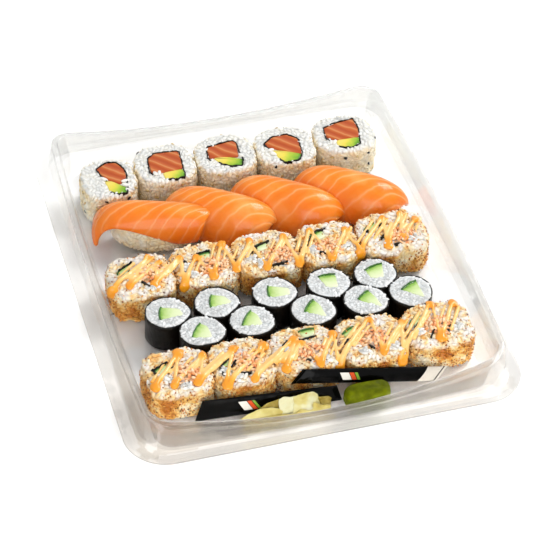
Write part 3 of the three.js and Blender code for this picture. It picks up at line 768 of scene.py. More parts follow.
def inside(point, outline, margin=0.0):
    """True if a point lies in an outline, or nearer to it than the margin."""
    hits = False
    for p, q in zip(outline, outline[1:] + outline[:1]):
        if (p.y > point[1]) != (q.y > point[1]):
            if point[0] < (q.x - p.x) * (point[1] - p.y) / (q.y - p.y) + p.x:
                hits = not hits
        if margin:
            near, share = geometry.intersect_point_line(Vector((point[0], point[1])), p, q)
            near = p.lerp(q, min(max(share, 0), 1))
            if (near - Vector((point[0], point[1]))).length < margin:
                return True
    return hits


def resampled(path, step):
    """Points every so many millimetres along a path."""
    points = [path[0]]
    for p, q in zip(path, path[1:]):
        parts = max(1, round((q - p).length / step))
        points += [p.lerp(q, k / parts) for k in range(1, parts + 1)]
    return points


square = [Vector(corner) for corner in ((0, 0), (1, 0), (1, 1), (0, 1))]
print("a softened square has", len(softened(square)), "corners")

# %% [markdown]
# ## The back row: salmon and avocado rolls
#
# An inside-out roll has its rice on the outside. Round the fillings goes the nori, and outside the
# rice sesame seeds are pressed on. The cut face shows a block of salmon, a slice of avocado below
# it and a little rice that has slipped in beside them. No two rolls are cut alike, so each one has
# its own corners for the two fillings, in millimetres from the roll's middle.

# %% Fillings of the back row
BACK_FILLINGS = [  # corners of the salmon, then of the avocado
    (
        [(-5.6, 8.7), (1.1, 12.8), (7.4, 12.0), (10.6, 5.0), (10.4, -1.8), (5.6, -7.6), (-2.4, -0.6)],
        [(-3.0, -1.6), (1.6, -3.6), (5.8, -8.2), (9.0, -11.6), (7.6, -15.2), (3.0, -15.8), (-1.8, -12.6)],
    ),
    (
        [(-9.2, 5.0), (-4.2, 9.2), (10.6, 8.0), (9.4, -8.0), (-2.1, -8.8), (-10.0, -7.6)],
        [(-3.4, -8.6), (9.2, -8.0), (9.0, -15.2), (4.0, -16.0), (-2.8, -15.2)],
    ),
    (
        [(-9.8, 7.4), (6.8, 9.8), (8.8, 7.2), (6.8, -5.6), (0.2, -3.8), (-10.4, -2.8)],
        [(-8.0, -2.4), (0.2, -3.6), (8.8, -7.6), (7.2, -13.0), (1.8, -13.2), (-5.4, -8.0)],
    ),
    (
        [(-12.2, 3.2), (-5.6, 8.6), (3.2, 9.0), (9.0, 3.6), (7.8, -10.6), (-1.6, -5.4), (-10.4, -0.4)],
        [(-8.6, -2.6), (-1.7, -5.2), (7.8, -10.4), (4.2, -15.2), (-3.8, -15.8), (-6.8, -11.2)],
    ),
    (
        [(-11.0, 7.2), (-2.4, 10.2), (9.2, 11.8), (9.8, 2.0), (8.0, -5.4), (-5.6, -5.0), (-11.2, -2.2)],
        [(-6.4, -4.8), (8.0, -5.2), (6.8, -11.4), (0.2, -13.8), (-7.0, -10.6)],
    ),
]
print("fillings for", len(BACK_FILLINGS), "rolls")

# %% Rolls of the back row
BACK_ROLLS = numbered("salmon_avocado_roll", ROW_SIZE)
FACE_SINK = 0.9  # how far the core's face lies under the tops of its grains
NORI_THICKNESS = 0.6
SESAME = (3.1, 1.9, 1.0)
SESAME_SPACING = 6.0
PALE_SHARE = 0.72  # of the sesame seeds


def shifted(corners, wall):
    return [Vector((x + wall.x, y + wall.y)) for x, y in corners]


slabs, loops = bmesh.new(), bmesh.new()
back_grains = []
sesame_spots, sesame_kinds = [], []
rng = random.Random(11)
for k, (name, (salmon_corners, avocado_corners)) in enumerate(zip(BACK_ROLLS, BACK_FILLINGS)):
    wall = Wall(name, 0.8)
    top = wall.high.z - FACE_SINK
    core = pillar(wall, rounded_profile(wall.low.z, top), 0.6, lump=0.4)
    block = softened(shifted(salmon_corners, wall), cut=0.09)
    wedge = softened(shifted(avocado_corners, wall), cut=0.13)
    slab(slabs, block, top + 0.75, finish=0)
    slab(slabs, wedge, top + 0.55, finish=1, toward=Vector((-0.8, 0.6)))
    fillings = block + wedge
    hull = [fillings[i] for i in geometry.convex_hull_2d(fillings)]
    middle = sum(hull, Vector((0, 0))) / len(hull)
    hull = [p + 0.6 * (p - middle).normalized() for p in hull]
    start, end = (
        min(range(len(hull)), key=lambda i: (hull[i] - shifted([corner], wall)[0]).length)
        for corner in (avocado_corners[-1], salmon_corners[0])
    )
    loop = (hull + hull)[start : end + 1 if end > start else end + len(hull) + 1]
    below = shifted([salmon_corners[-1]], wall)[0]
    tail = [below + Vector((-1.1, 0.6)), below + Vector((0.4, -2.6))]
    path = [p + 0.5 * noise.noise_vector(p.to_3d() / 2).xy for p in resampled(loop + tail, 0.8)]
    ribbon(loops, path, top - 2.5, top + 0.9, NORI_THICKNESS, wave=0.7)

    def on_rice(point, normal, block=block, wedge=wedge, top=top):
        if normal[2] > 0.5 and point[2] > top - 1.5:
            return not (inside(point, block, 0.8) or inside(point, wedge, 0.8))
        return normal[2] > -0.5

    for point, normal in spots_on(core, GRAIN_SPACING, 100 + k, on_rice):
        lump = 0.8 if inside(point, hull) else rng.uniform(-0.4, 0.0)
        back_grains.append(laid(point, normal, GRAIN, rng, lift=lump, tilt=0.2))
    for point, normal in spots_on(core, SESAME_SPACING, 140 + k, lambda p, n: -0.5 < n[2] < 0.7):
        sesame_spots.append(laid(point, normal, SESAME, rng, lift=0.7, tilt=0.1))
        sesame_kinds.append(0 if rng.random() < PALE_SHARE else 1)
    piece(f"rice_core_back_{k + 1}", core, [rice], [name])
print("back row: fillings at", round(top, 1), "mm, grains", len(back_grains), "seeds", len(sesame_spots))

# %% Pieces of the back row
piece("salmon_and_avocado_slabs", slabs, [salmon_block, avocado])
piece("nori_loops_back", loops, [nori], smooth=False)
copies("rice_grains_back", grain(), back_grains, [rice])


def seed_shape():
    """A sesame seed: a flattened drop, a unit long."""
    bm = bmesh.new()
    bmesh.ops.create_icosphere(bm, subdivisions=1, radius=0.5)
    for v in bm.verts:
        v.co.y *= 1.0 - 0.9 * v.co.x
    return bm


seed_finishes = [pale_sesame, black_sesame]
copies("sesame_seeds", seed_shape(), sesame_spots, seed_finishes, kinds=sesame_kinds)

# %% [markdown]
# ## The drizzled rolls
#
# These two rows are inside-out rolls as well, rolled in spice crumbs. Their cut faces are a jumble:
# rice, a stick of cucumber with its dark skin, bits of nori, and a heap of shredded crab paste
# in the middle or beside it. The heap is made of short shreds laid over a low dome. Each roll has
# its own places for these, in millimetres from its middle.

# %% Fillings of the drizzled rows
FILLINGS = {  # middle of the crab, middle and turn of the cucumber, lumps of rice, strips of nori
    "drizzled_roll": [
        ((6.2, -1.1), (-8.4, 4.6, 35), [(-5.4, -1.4), (4.0, -12.0)],
         [[(-11.9, 5.3), (-7.1, 8.4), (-3.1, 10.7)], [(-6.7, 3.1), (-4.9, -1.6), (-6.9, -5.3)],
          [(-1.5, -6.7), (2.2, -12.7)]]),
        ((4.0, -4.1), (0.6, 4.2, 10), [(-8.6, -7.7), (-11.2, -1.9)],
         [[(-2.9, 7.1), (5.1, 8.5)], [(-14.4, -1.1), (-11.0, 3.2), (-8.6, -0.9)],
          [(-15.3, -6.8), (-11.4, -5.3)]]),
        ((6.0, -5.5), (-2.6, 3.6, 20), [(-7.0, -9.7), (-10.0, -4.0)],
         [[(-7.5, 3.8), (2.5, 7.4)], [(-13.2, -4.6), (-9.5, 0.5), (-5.6, 3.8)],
          [(-0.6, -14.2), (8.5, -13.1)]]),
        ((-0.9, -6.3), (-4.5, 4.6, 28), [(-11.0, -6.3), (9.0, -8.0)],
         [[(-13.8, -3.9), (-9.4, 2.9)], [(-7.6, -9.0), (-2.4, -11.2)], [(-8.6, 8.0), (0.5, 9.4)]]),
        ((4.2, -5.6), (-10.6, 3.8, 34), [(-6.2, -10.4), (11.0, -9.0)],
         [[(-16.4, -0.5), (-13.1, 2.2)], [(-5.9, 3.9), (-2.6, 6.6)], [(-8.0, -6.2), (-4.7, -3.5)],
          [(-2.3, -12.9), (2.1, -12.3)]]),
    ],
    "front_roll": [
        ((4.1, -5.0), (-8.2, 1.8, 32), [(-7.0, -5.6), (2.0, -14.0)],
         [[(-3.8, 6.9), (-13.9, 2.5), (-12.0, -1.2)], [(-5.0, 0.1), (-1.3, 1.5)],
          [(-0.9, -12.6), (5.4, -12.0)]]),
        ((2.2, -3.2), (-8.6, -2.6, 50), [(-4.1, -13.4), (-10.1, -6.7)],
         [[(-7.0, 2.3), (-13.7, -3.8), (-12.7, -10.3)], [(-7.1, -6.3), (-3.4, -1.0)],
          [(-3.9, -11.0), (2.3, -12.2)]]),
        ((1.9, -5.2), (4.4, 9.4, 4), [(-8.9, -1.6), (9.0, -12.0)],
         [[(-2.6, 5.0), (0.4, 4.4), (8.4, 5.6)], [(-3.8, -9.3), (-0.2, -12.4)], [(-12.0, 2.0), (-8.0, 6.0)]]),
        ((1.5, -2.8), (-10.4, 4.8, 30), [(-6.9, -10.4), (10.3, -11.4)],
         [[(-16.1, -3.8), (-13.1, 0.2)], [(-10.7, 0.4), (-7.9, 3.7)], [(-4.6, -7.6), (-1.6, -10.8)]]),
        ((-0.1, -1.9), (-10.4, 3.7, 40), [(-12.4, -4.2), (9.7, -5.6)],
         [[(-16.4, -5.6), (-11.1, 1.2)], [(-6.9, -10.5), (-3.5, -5.7)], [(3.4, -9.1), (8.7, -0.7)]]),
    ],
}
print("fillings for", sum(len(row) for row in FILLINGS.values()), "rolls")

# %% Sizes of the drizzled rows' fillings
HEAP = (9.2, 7.2, 2.4)  # half width, half depth and height of the crab paste
SHRED = (3.6, 2.0, 1.7)
SHRED_SPACING = 1.65
STICK = (9.0, 5.4)  # length along the skin, and depth
LUMP_GRAINS = 9
LUMP_RADIUS = 3.0
CRUMB_SPACING = 1.35


def stick_outline(x, y, turn, wall, length=STICK[0], depth=STICK[1]):
    """A quarter of a cucumber, cut across: skin along the first side."""
    flat = [(-0.5, 0.36), (-0.2, 0.5), (0.2, 0.5), (0.5, 0.36), (0.34, -0.5), (-0.3, -0.5)]
    spin = Matrix.Rotation(math.radians(turn), 2)
    middle = Vector((x + wall.x, y + wall.y))
    return [spin @ Vector((a * length, b * depth)) + middle for a, b in flat]


print("the heap of crab paste is", 2 * HEAP[0], "by", 2 * HEAP[1], "mm")

# %% Rolls of the drizzled rows
sticks, bits = bmesh.new(), bmesh.new()
row_grains = {"drizzled_roll": [], "front_roll": []}
row_walls = {"drizzled_roll": [], "front_roll": []}
shreds, lumps, crumb_spots = [], [], []
rng = random.Random(23)
for stem, prefix in (("drizzled_roll", "middle"), ("front_roll", "front")):
    for k, name in enumerate(numbered(stem, ROW_SIZE)):
        wall = Wall(name, 2.4)
        row_walls[stem].append(wall)
        top = DRIZZLED_TOP - 0.5
        core = pillar(wall, rounded_profile(wall.low.z, top, 0.12, 2.0), 0.5, lump=1.0)
        crab_spot, stick_spot, lump_spots, strips = FILLINGS[stem][k]
        heap = shifted([crab_spot], wall)[0]
        outline = stick_outline(*stick_spot, wall)
        spin = Matrix.Rotation(math.radians(stick_spot[2]), 2)
        slab(sticks, softened(outline, 1, 0.15), top + 1.1, finish=0, toward=spin @ Vector((0, 1)))
        ribbon(sticks, resampled(outline[:4], 1.2), top - 2.0, top + 1.4, 0.9, finish=1)
        for strip in strips:
            path = resampled(shifted(strip, wall), 0.9)
            path = [p + 0.4 * noise.noise_vector(p.to_3d() / 2).xy for p in path]
            ribbon(bits, path, top - 2.0, top + 2.0, 0.9, wave=0.8)

        def dome(x, y, heap=heap):
            return 1 - ((x - heap.x) / HEAP[0]) ** 2 - ((y - heap.y) / HEAP[1]) ** 2

        def on_rice(point, normal, dome=dome, outline=outline, top=top):
            if normal[2] > 0.5 and point[2] > top - 1.5:
                return dome(point[0], point[1]) < 0.2 and not inside(point, outline, 0.3)
            return normal[2] > -0.5

        for point, normal in spots_on(core, GRAIN_SPACING, 200 + 10 * k + len(stem), on_rice):
            lift = rng.uniform(-0.4, 0.5) if normal.z > 0.5 else rng.uniform(-0.5, 0.2)
            row_grains[stem].append(laid(point, normal, GRAIN, rng, lift=lift, tilt=0.2))
        for spot in shifted(lump_spots, wall):
            for _ in range(LUMP_GRAINS):
                angle, out = rng.uniform(0, 2 * math.pi), LUMP_RADIUS * math.sqrt(rng.random())
                x, y = spot.x + out * math.cos(angle), spot.y + out * math.sin(angle)
                place = Vector((x, y, top + 1.7 - 0.25 * out))
                lumps.append(laid(place, Vector((0, 0, 1)), GRAIN, rng, tilt=0.5))

        def under_heap(point, normal, dome=dome):
            return normal[2] > 0.7 and dome(point[0], point[1]) > 0

        for point, normal in spots_on(core, SHRED_SPACING, 300 + 10 * k + len(stem), under_heap):
            lift = HEAP[2] * math.sqrt(max(0, dome(point.x, point.y))) - 0.1
            shreds.append(laid(point, normal, SHRED, rng, lift=lift + rng.uniform(-0.4, 0.4), tilt=0.7))

        # Crumbs cling in clusters. More of them are put low down, partly as painted shade at the foot of a
        # roll.
        def dusty(point, normal, top=top):
            thick = noise.noise(Vector(point) / 6) + 0.5 * noise.noise(Vector(point) / 2.5)
            return -0.4 < normal[2] < 0.75 and thick > -0.32 + 0.5 * (point[2] / top) ** 2

        for point, normal in spots_on(core, CRUMB_SPACING, 400 + 10 * k + len(stem), dusty):
            size = rng.uniform(0.7, 1.6)
            shape = (size, 0.8 * size, 0.6 * size)
            crumb_spots.append(laid(point, normal, shape, rng, rng.uniform(0.6, 1.1), 0.6))

        # A few of them lie on the cut face.
        def on_face(point, normal, top=top):
            return normal[2] > 0.6 and point[2] > top - 1.5

        for point, normal in spots_on(core, 3.4, 500 + 10 * k + len(stem), on_face):
            crumb_spots.append(laid(point, normal, (1.2, 0.9, 0.7), rng, lift=1.4, tilt=0.6))
        piece(f"rice_core_{prefix}_{k + 1}", core, [spiced_rice], [name])
counts = {stem: len(found) for stem, found in row_grains.items()}
print("drizzled rows: grains", counts, "shreds", len(shreds), "crumbs", len(crumb_spots))

# %% Pieces of the drizzled rows
piece("cucumber_sticks", sticks, [cucumber, cucumber_skin])
piece("nori_bits", bits, [nori], smooth=False)
copies("rice_grains_middle", grain(), row_grains["drizzled_roll"], [spiced_rice])
copies("rice_grains_front", grain(), row_grains["front_roll"], [spiced_rice])
copies("rice_lumps", grain(), lumps, [rice])
copies("crab_shreds", grain(), shreds, [crab_paste])


def crumb_shape():
    """A crumb: a ball whose faces are merged into a few flat ones."""
    bm = bmesh.new()
    bmesh.ops.create_icosphere(bm, subdivisions=1, radius=0.5)
    bmesh.ops.dissolve_limit(bm, angle_limit=math.radians(30), verts=bm.verts, edges=bm.edges)
    return bm


copies("spice_crumbs", crumb_shape(), crumb_spots, [crumbs])

# %% [markdown]
# ## The sauce
#
# The sauce is squeezed from a bottle in one line that goes to and fro across the row. It is thicker
# at each turn, where the hand slows down, and there it makes a pool. Where it runs over the edge of
# a roll it sinks down the side. A curve with a round bevel gives the line, balls at the turns give
# the pools, and a voxel remesh melts them into one skin, which is then made a little lumpy. The
# skin also stores how near each point is to a pool, and the finish turns that into colour.

# %% Turns of the sauce
POUR_MIDDLE = [  # turns of the pour from left to right: x, y and the half width of the pool there
    (-95, -11, 3.6), (-68, 10, 1.8), (-84, -11, 2.2), (-63, 4, 1.3), (-70, -13, 3.0), (-51, 5, 1.6),
    (-55, -17, 3.2), (-42, 3, 2.4), (-36, -14, 3.2), (-25, 10, 2.6), (-22, -12, 2.8), (-9, 9, 2.4),
    (-5, -15, 2.6), (11, 8, 2.2), (14, -16, 2.4), (27, 9, 1.5), (33, -17, 2.2), (47, 5, 1.8),
    (52, -16, 3.6), (71, 9, 2.0), (67, -14, 3.0), (82, 10, 1.8), (78, -11, 1.6), (89, 3, 2.4),
]
POUR_FRONT = [
    (-89, -91, 3.0), (-71, -69, 3.2), (-79, -92, 2.4), (-58, -73, 2.2), (-66, -93, 2.8), (-41, -73, 2.6),
    (-51, -98, 3.2), (-24, -75, 3.0), (-36, -98, 2.2), (-7, -75, 3.0), (-17, -95, 3.0), (-4, -78, 1.6),
    (2, -96, 2.6), (15, -76, 2.8), (16, -100, 3.0), (38, -70, 2.0), (38, -96, 2.4), (55, -75, 2.2),
    (53, -104, 3.4), (75, -67, 2.4), (72, -93, 3.2), (87, -69, 2.6),
]
print("turns of the sauce:", len(POUR_MIDDLE), "and", len(POUR_FRONT))

# %% Run of the sauce
STRAND = 1.3  # half the width of the line
THREAD = 0.85  # the same for the drips that trail beside it
SAUCE_TOP = DRIZZLED_TOP + 1.0
SINKING = 0.95  # how far the sauce sinks for each millimetre past an edge
DEEPEST = 8  # how far down a side it runs at most


def lie(x, y, walls):
    """Where the sauce comes to lie: on the nearest roll's face, or down its side."""
    wall = min(walls, key=lambda w: math.hypot(x - w.x, y - w.y))
    out = math.hypot(x - wall.x, y - wall.y)
    edge = wall.at(math.atan2(y - wall.y, x - wall.x)) - 1.0
    over = max(0.0, out - edge)
    share = min(1.0, (edge + min(over, 1.2)) / out)
    x, y = wall.x + (x - wall.x) * share, wall.y + (y - wall.y) * share
    return Vector((x, y, SAUCE_TOP - min(SINKING * over, DEEPEST)))


def strand(line, places):
    """One run of sauce through places with widths."""
    way = line.splines.new("BEZIER")
    way.bezier_points.add(len(places) - 1)
    for knot, (place, width) in zip(way.bezier_points, places):
        knot.co = place
        knot.radius = width
        knot.handle_left_type = knot.handle_right_type = "AUTO"


def zigzag(line, spots, rng):
    """The main run from turn to turn: thick on its way up, thinner on its way down."""
    places = []
    for k, (here, there) in enumerate(zip(spots, spots[1:])):
        uphill = there.y > here.y
        thin = rng.uniform(1.0, 1.2) if uphill else rng.uniform(0.75, 0.95)
        places.append((here, 1.5 if uphill else 1.15))
        for share in (0.15, 0.5, 0.85):
            sway = Vector((rng.uniform(-0.5, 0.5), rng.uniform(-0.5, 0.5), 0))
            place = here.lerp(there, share) + sway
            place.z = SAUCE_TOP + rng.uniform(-0.2, 0.4)
            swell = 1.25 - 0.5 * (share if uphill else 1 - share)
            places.append((place, thin * swell))
    places.append((spots[-1], 1.2))
    strand(line, places)


def threads(line, spots, rng):
    """Two thin drips beside each run towards the back."""
    for here, there in zip(spots, spots[1:]):
        if there.y < here.y:
            continue
        for aside in (-4.4, 3.8):
            beside = Vector((aside + rng.uniform(-0.8, 0.8), rng.uniform(-1.5, 1.5), 0))
            first, last = rng.uniform(0.15, 0.4), rng.uniform(0.7, 1.0)
            thread = []
            for share in (first, (first + last) / 2, last):
                place = here.lerp(there, share) + beside
                place.z = SAUCE_TOP + rng.uniform(-0.3, 0.2)
                thread.append((place, THREAD / STRAND * rng.uniform(0.8, 1.5)))
            strand(line, thread)


def pools(bm, spots, turns, rng):
    """The pools at the turns, flat on a face and long where they hang."""
    for spot, (_, _, size) in zip(spots, turns):
        hangs = spot.z < SAUCE_TOP - 2
        shape = (1.0, 0.7, 1.35) if hangs else (1.0, 1.2, 0.55)
        for part in (1.0, 0.62, 0.5):  # a pool is one large blot and two small ones that run into it
            aside = 0.75 * size * (1 - part) * 2
            x, y = rng.uniform(-aside, aside), rng.uniform(-aside, aside) * (0.3 if hangs else 1.0)
            place = Matrix.Translation(spot + Vector((x, y, -0.2))) @ Matrix.Diagonal((*shape, 1.0))
            bmesh.ops.create_icosphere(bm, subdivisions=2, radius=size * part, matrix=place)


print("the line is", 2 * STRAND, "mm wide and its drips", 2 * THREAD, "mm")

# %% Sauce
VOXEL = 0.45


def finished_mesh(shown):
    """The mesh of an object with its modifiers applied."""
    return bpy.data.meshes.new_from_object(shown.evaluated_get(bpy.context.evaluated_depsgraph_get()))


def pour(name, turns, walls, seed):
    """One zig-zag of sauce with its pools and threads."""
    rng = random.Random(seed)
    line = bpy.data.curves.new(name + "_line", "CURVE")
    line.dimensions = "3D"
    line.bevel_depth = STRAND
    line.bevel_resolution = 2
    line.use_fill_caps = True
    spots = [lie(x, y, walls) for x, y, _ in turns]
    zigzag(line, spots, rng)
    threads(line, spots, rng)
    holder = bpy.data.objects.new(name + "_line", line)
    bpy.context.scene.collection.objects.link(holder)
    bm = bmesh.new()
    bm.from_mesh(finished_mesh(holder))
    bpy.data.objects.remove(holder)
    pools(bm, spots, turns, rng)
    made = piece(name, bm, [sauce])
    melt = made.modifiers.new("melt", "REMESH")
    melt.mode = "VOXEL"
    melt.voxel_size = VOXEL * MM
    melt.use_smooth_shade = True
    ease = made.modifiers.new("ease", "SMOOTH")
    ease.factor = 0.5
    ease.iterations = 3
    finished = finished_mesh(made)
    made.modifiers.clear()
    made.data = finished
    # How deep the sauce is at each point: 1 in a pool and 0 far from any.
    points = np.array([v.co[:] for v in finished.vertices]) / MM
    middles = np.array([spot[:] for spot in spots])
    sizes = np.array([size for _, _, size in turns])
    apart = np.linalg.norm(points[:, None] - middles[None], axis=2) / sizes
    nearness = np.clip(1.4 - 0.55 * apart.min(axis=1), 0, 1)
    # The lumps are all worked out before a point moves, because moving one changes the normals.
    swells = [0.3 * MM * noise.noise(v.co / (2.6 * MM)) * v.normal for v in finished.vertices]
    for v, swell in zip(finished.vertices, swells):
        v.co += swell
    finished.attributes.new("depth", "FLOAT", "POINT").data.foreach_set("value", nearness.astype(np.float32))
    print(name, len(finished.polygons), "faces")


pour("sauce_middle", POUR_MIDDLE, row_walls["drizzled_roll"], 31)
pour("sauce_front", POUR_FRONT, row_walls["front_roll"], 37)

# %% [markdown]
# ## The thin cucumber rolls
#
# Here the nori is outside. Its sheet stands round the rice and ends in a seam that makes one side a
# little pointed, which the solid's outline already has. The face is rice with one wedge of
# cucumber, and the wedges lie every which way. The grains on the face are cut through, so they lie
# low and flat.

# %% Wedges of cucumber
THIN_ROLLS = numbered("cucumber_roll", 10)
WEDGES = [  # corners: the two ends of the skin, then the far and the near corner of the flesh
    [(-3.4, 4.1), (-6.1, -5.6), (7.9, -4.6), (6.6, 0.7)],
    [(-2.1, 5.9), (-5.0, -3.8), (8.0, -2.7), (5.0, 3.1)],
    [(-2.9, 5.1), (-4.6, -4.0), (7.6, -5.0), (8.4, 0.5)],
    [(-4.8, 4.6), (5.1, 4.3), (4.0, -5.3), (-2.3, -4.5)],
    [(-5.3, 2.8), (5.8, 6.0), (3.6, -4.6), (-3.8, -3.6)],
    [(-0.2, 4.9), (-7.2, -4.7), (3.9, -7.5), (3.5, 1.5)],
    [(0.9, 7.0), (-6.8, -3.3), (5.1, -5.9), (4.1, 2.9)],
    [(2.2, 6.4), (-5.1, -1.7), (5.7, -8.2), (4.4, 2.1)],
    [(3.7, 5.1), (-4.0, -0.4), (7.4, -9.0), (6.1, -0.9)],
    [(5.3, 6.1), (-4.7, 1.1), (6.0, -7.6), (5.6, 0.1)],
]
print(len(WEDGES), "wedges for", len(THIN_ROLLS), "rolls")

# %% Cucumber rolls
SKIN_BOW = 0.9  # how far the skin bulges between its ends
NORI_SHEET = 0.7
THIN_RADIUS = 12.5
CUT_GRAIN = (4.6, 2.5, 1.5)
CUT_SPACING = 1.5

wedges = bmesh.new()
thin_grains = []
rng = random.Random(41)
for k, (name, corners) in enumerate(zip(THIN_ROLLS, WEDGES)):
    wall = Wall(name)
    low, top = wall.low.z, wall.high.z - 0.9
    lip = NORI_SHEET / THIN_RADIUS
    sleeve_profile = [
        (0, low), (0.6, low), (0.97, low), (1, low + 0.5), (1, low + 5), (1, low + 10), (1, top - 3),
        (1, top - 0.1), (1 - 0.5 * lip, top + 0.1), (1 - lip, top - 0.2), (1 - lip, top - 1.5),
        (0.5, top - 1.6), (0, top - 1.6),
    ]
    sleeve = pillar(wall, sleeve_profile, -0.1, lump=0.35, steps=96)
    piece(f"nori_sleeve_{k + 1}", sleeve, [nori], [name])
    face_profile = [
        (0, top - 1.4), (0.98, top - 1.4), (0.98, top - 0.2), (0.94, top + 0.2), (0.5, top + 0.35),
        (0, top + 0.35),
    ]
    face = pillar(wall, face_profile, 0.4)
    first, last, far, near = shifted(corners, wall)
    bow = (last - first).orthogonal().normalized() * SKIN_BOW
    if bow.dot(far - first) > 0:
        bow = -bow
    skin = [first, first.lerp(last, 0.3) + 0.8 * bow, first.lerp(last, 0.7) + 0.8 * bow, last]
    outline = skin + [far, near]
    slab(wedges, softened(outline, 1, 0.12), top + 0.8, edge=0.5, finish=0, toward=bow.normalized())
    ribbon(wedges, resampled(skin, 1.0), top - 2.0, top + 1.1, 0.9, wave=0.4, finish=1)

    def on_rice(point, normal, outline=outline, wall=wall):
        out = math.hypot(point[0] - wall.x, point[1] - wall.y)
        edge = wall.at(math.atan2(point[1] - wall.y, point[0] - wall.x)) - 1.9
        return normal[2] > 0.3 and out < edge and not inside(point, outline, 0.5)

    for point, normal in spots_on(face, CUT_SPACING, 600 + k, on_rice):
        thin_grains.append(laid(point, normal, CUT_GRAIN, rng, lift=-0.3, tilt=0.06))
    piece(f"rice_face_{k + 1}", face, [cool_rice])
piece("cucumber_wedges", wedges, [cucumber, cucumber_skin])
copies("rice_grains_thin", grain(), thin_grains, [cool_rice])

# %% [markdown]
# ## Nigiri
#
# A nigiri is an oval of pressed rice with a slice of salmon draped over it. The slice starts as a
# flat grid, which gives it its UV map, and then falls off towards its ends and sides. The slices
# lie against each other, so what would reach far past a slice's own solid is laid back on it. The
# first slice leaves the front of its rice bare, and there the grains show.

# %% Shape of a slice
SLICE_WIDTH = 26.5
SLICE_THICKNESS = 4.2
SLICE_SLANT = 4.0  # how far the back edge is shifted along the slice
BEND_STEPS = 24
SIDE_DROP = 10.5  # how far the back edge hangs down
SLICE_TOP = box_of("salmon_nigiri_2")[1].z
FOOT = box_of("salmon_nigiri_2")[0].z
NIGIRI = [  # middle, turn, (length, bend in degrees) to each end, how far the front hangs at each end
    (-56.9, 45.2, -18, (45.5, 100), (34.5, 30), (6.5, 22.0)),
    (-18.2, 45.8, -33, (35.0, 75), (42.0, 90), (23.5, 23.5)),
    (20.8, 45.6, -35, (34.0, 75), (45.0, 90), (23.5, 23.5)),
    (59.4, 45.0, -34, (34.0, 75), (44.5, 90), (23.5, 23.5)),
]


def bent(length, bend, share):
    """How far out and how far down a strip gets that bends more and more towards its end."""
    turns = [math.radians(bend) * (share * (k + 0.5) / BEND_STEPS) ** 2.4 for k in range(BEND_STEPS)]
    step = length * share / BEND_STEPS
    return step * sum(math.cos(t) for t in turns), step * sum(math.sin(t) for t in turns)


def slice_shape(ends, fronts):
    """A draped slice about the origin, with UV map "slice". Even fronts hang the same at both ends."""
    even = fronts[0] == fronts[1]
    bm = bmesh.new()
    bmesh.ops.create_grid(bm, x_segments=44, y_segments=20, size=1)
    uv = bm.loops.layers.uv.new("slice")
    for f in bm.faces:
        for loop in f.loops:
            loop[uv].uv = ((loop.vert.co.x + 1) / 2, (loop.vert.co.y + 1) / 2)
    for vert in bm.verts:
        a, b = vert.co.x, vert.co.y
        out, end_fall = bent(*ends[0 if a < 0 else 1], abs(a))
        front = fronts[0] + (fronts[1] - fronts[0]) * min(max((a + 0.5) / 1.1, 0), 1)
        if not even:  # the corner of the bare slice's long end hangs lower
            front += 8 * max(0.0, (-a - 0.66) / 0.34)
        side_fall = (front if b < 0 else SIDE_DROP) * abs(b) ** 2.6 * (1 - 0.35 * a * a)
        fall = min(end_fall + side_fall, SLICE_TOP - FOOT - 2)
        narrowing = 0.16 if a > 0 else 0.32 if even else 0.12  # how much narrower an end is
        waist = 1 - narrowing * abs(a) ** 3
        along = math.copysign(out * math.sqrt(1 - 0.14 * b**4), a)
        across = b * math.sqrt(1 - 0.14 * a**4)
        wider = 1.5 if b < 0 and even else 1.0  # a front that hangs far also bulges
        vert.co = (
            along + SLICE_SLANT * b * (1 if even else (a + 1) / 2),
            across * waist * wider * SLICE_WIDTH / 2,
            SLICE_TOP - fall,
        )
    bmesh.ops.recalc_face_normals(bm, faces=bm.faces)
    if sum(f.normal.z for f in bm.faces) < 0:
        bmesh.ops.reverse_faces(bm, faces=bm.faces)
    bmesh.ops.solidify(bm, geom=bm.faces[:], thickness=SLICE_THICKNESS * 0.8)
    return bm


print("a slice is", SLICE_WIDTH, "mm wide and", SLICE_THICKNESS, "mm thick at", len(NIGIRI), "nigiri")

# %% Rice under a slice
RICE_BLOCK = (51, 22.5, 21)  # length, width and height


def block_shape(inset, boxy, forward):
    """A pressed oval of rice about the origin. A smaller boxy number gives flatter sides."""
    bm = bmesh.new()
    bmesh.ops.create_uvsphere(bm, u_segments=40, v_segments=20, radius=1)
    for vert in bm.verts:
        flat = math.copysign(abs(vert.co.z) ** boxy, vert.co.z)
        round_share = math.hypot(vert.co.x, vert.co.y)
        wide = round_share ** (boxy - 1) if round_share > 0.01 else 1.0
        bulge = forward * (1 - flat) / 2 if vert.co.y < 0 else 0  # the foot spreads to the front
        vert.co = (
            vert.co.x * wide * (RICE_BLOCK[0] / 2 - inset),
            vert.co.y * wide * (RICE_BLOCK[1] / 2 - inset + bulge),
            FOOT + 0.3 + (flat + 1) * (RICE_BLOCK[2] - inset) / 2,
        )
    return bm


def lay_on_solid(bm, name, slack):
    """Moves what stands out of a solid by more than the slack back to its surface."""
    tree = BVHTree.FromObject(solids[name], bpy.context.evaluated_depsgraph_get())
    moved = 0
    for vert in bm.verts:
        near, normal, _, distance = tree.find_nearest(vert.co * MM)
        out = (vert.co * MM - near).dot(normal)
        if out > 0 and distance > slack * MM:
            vert.co = near / MM
            moved += 1
    return moved


print("a block of rice is", RICE_BLOCK, "mm")

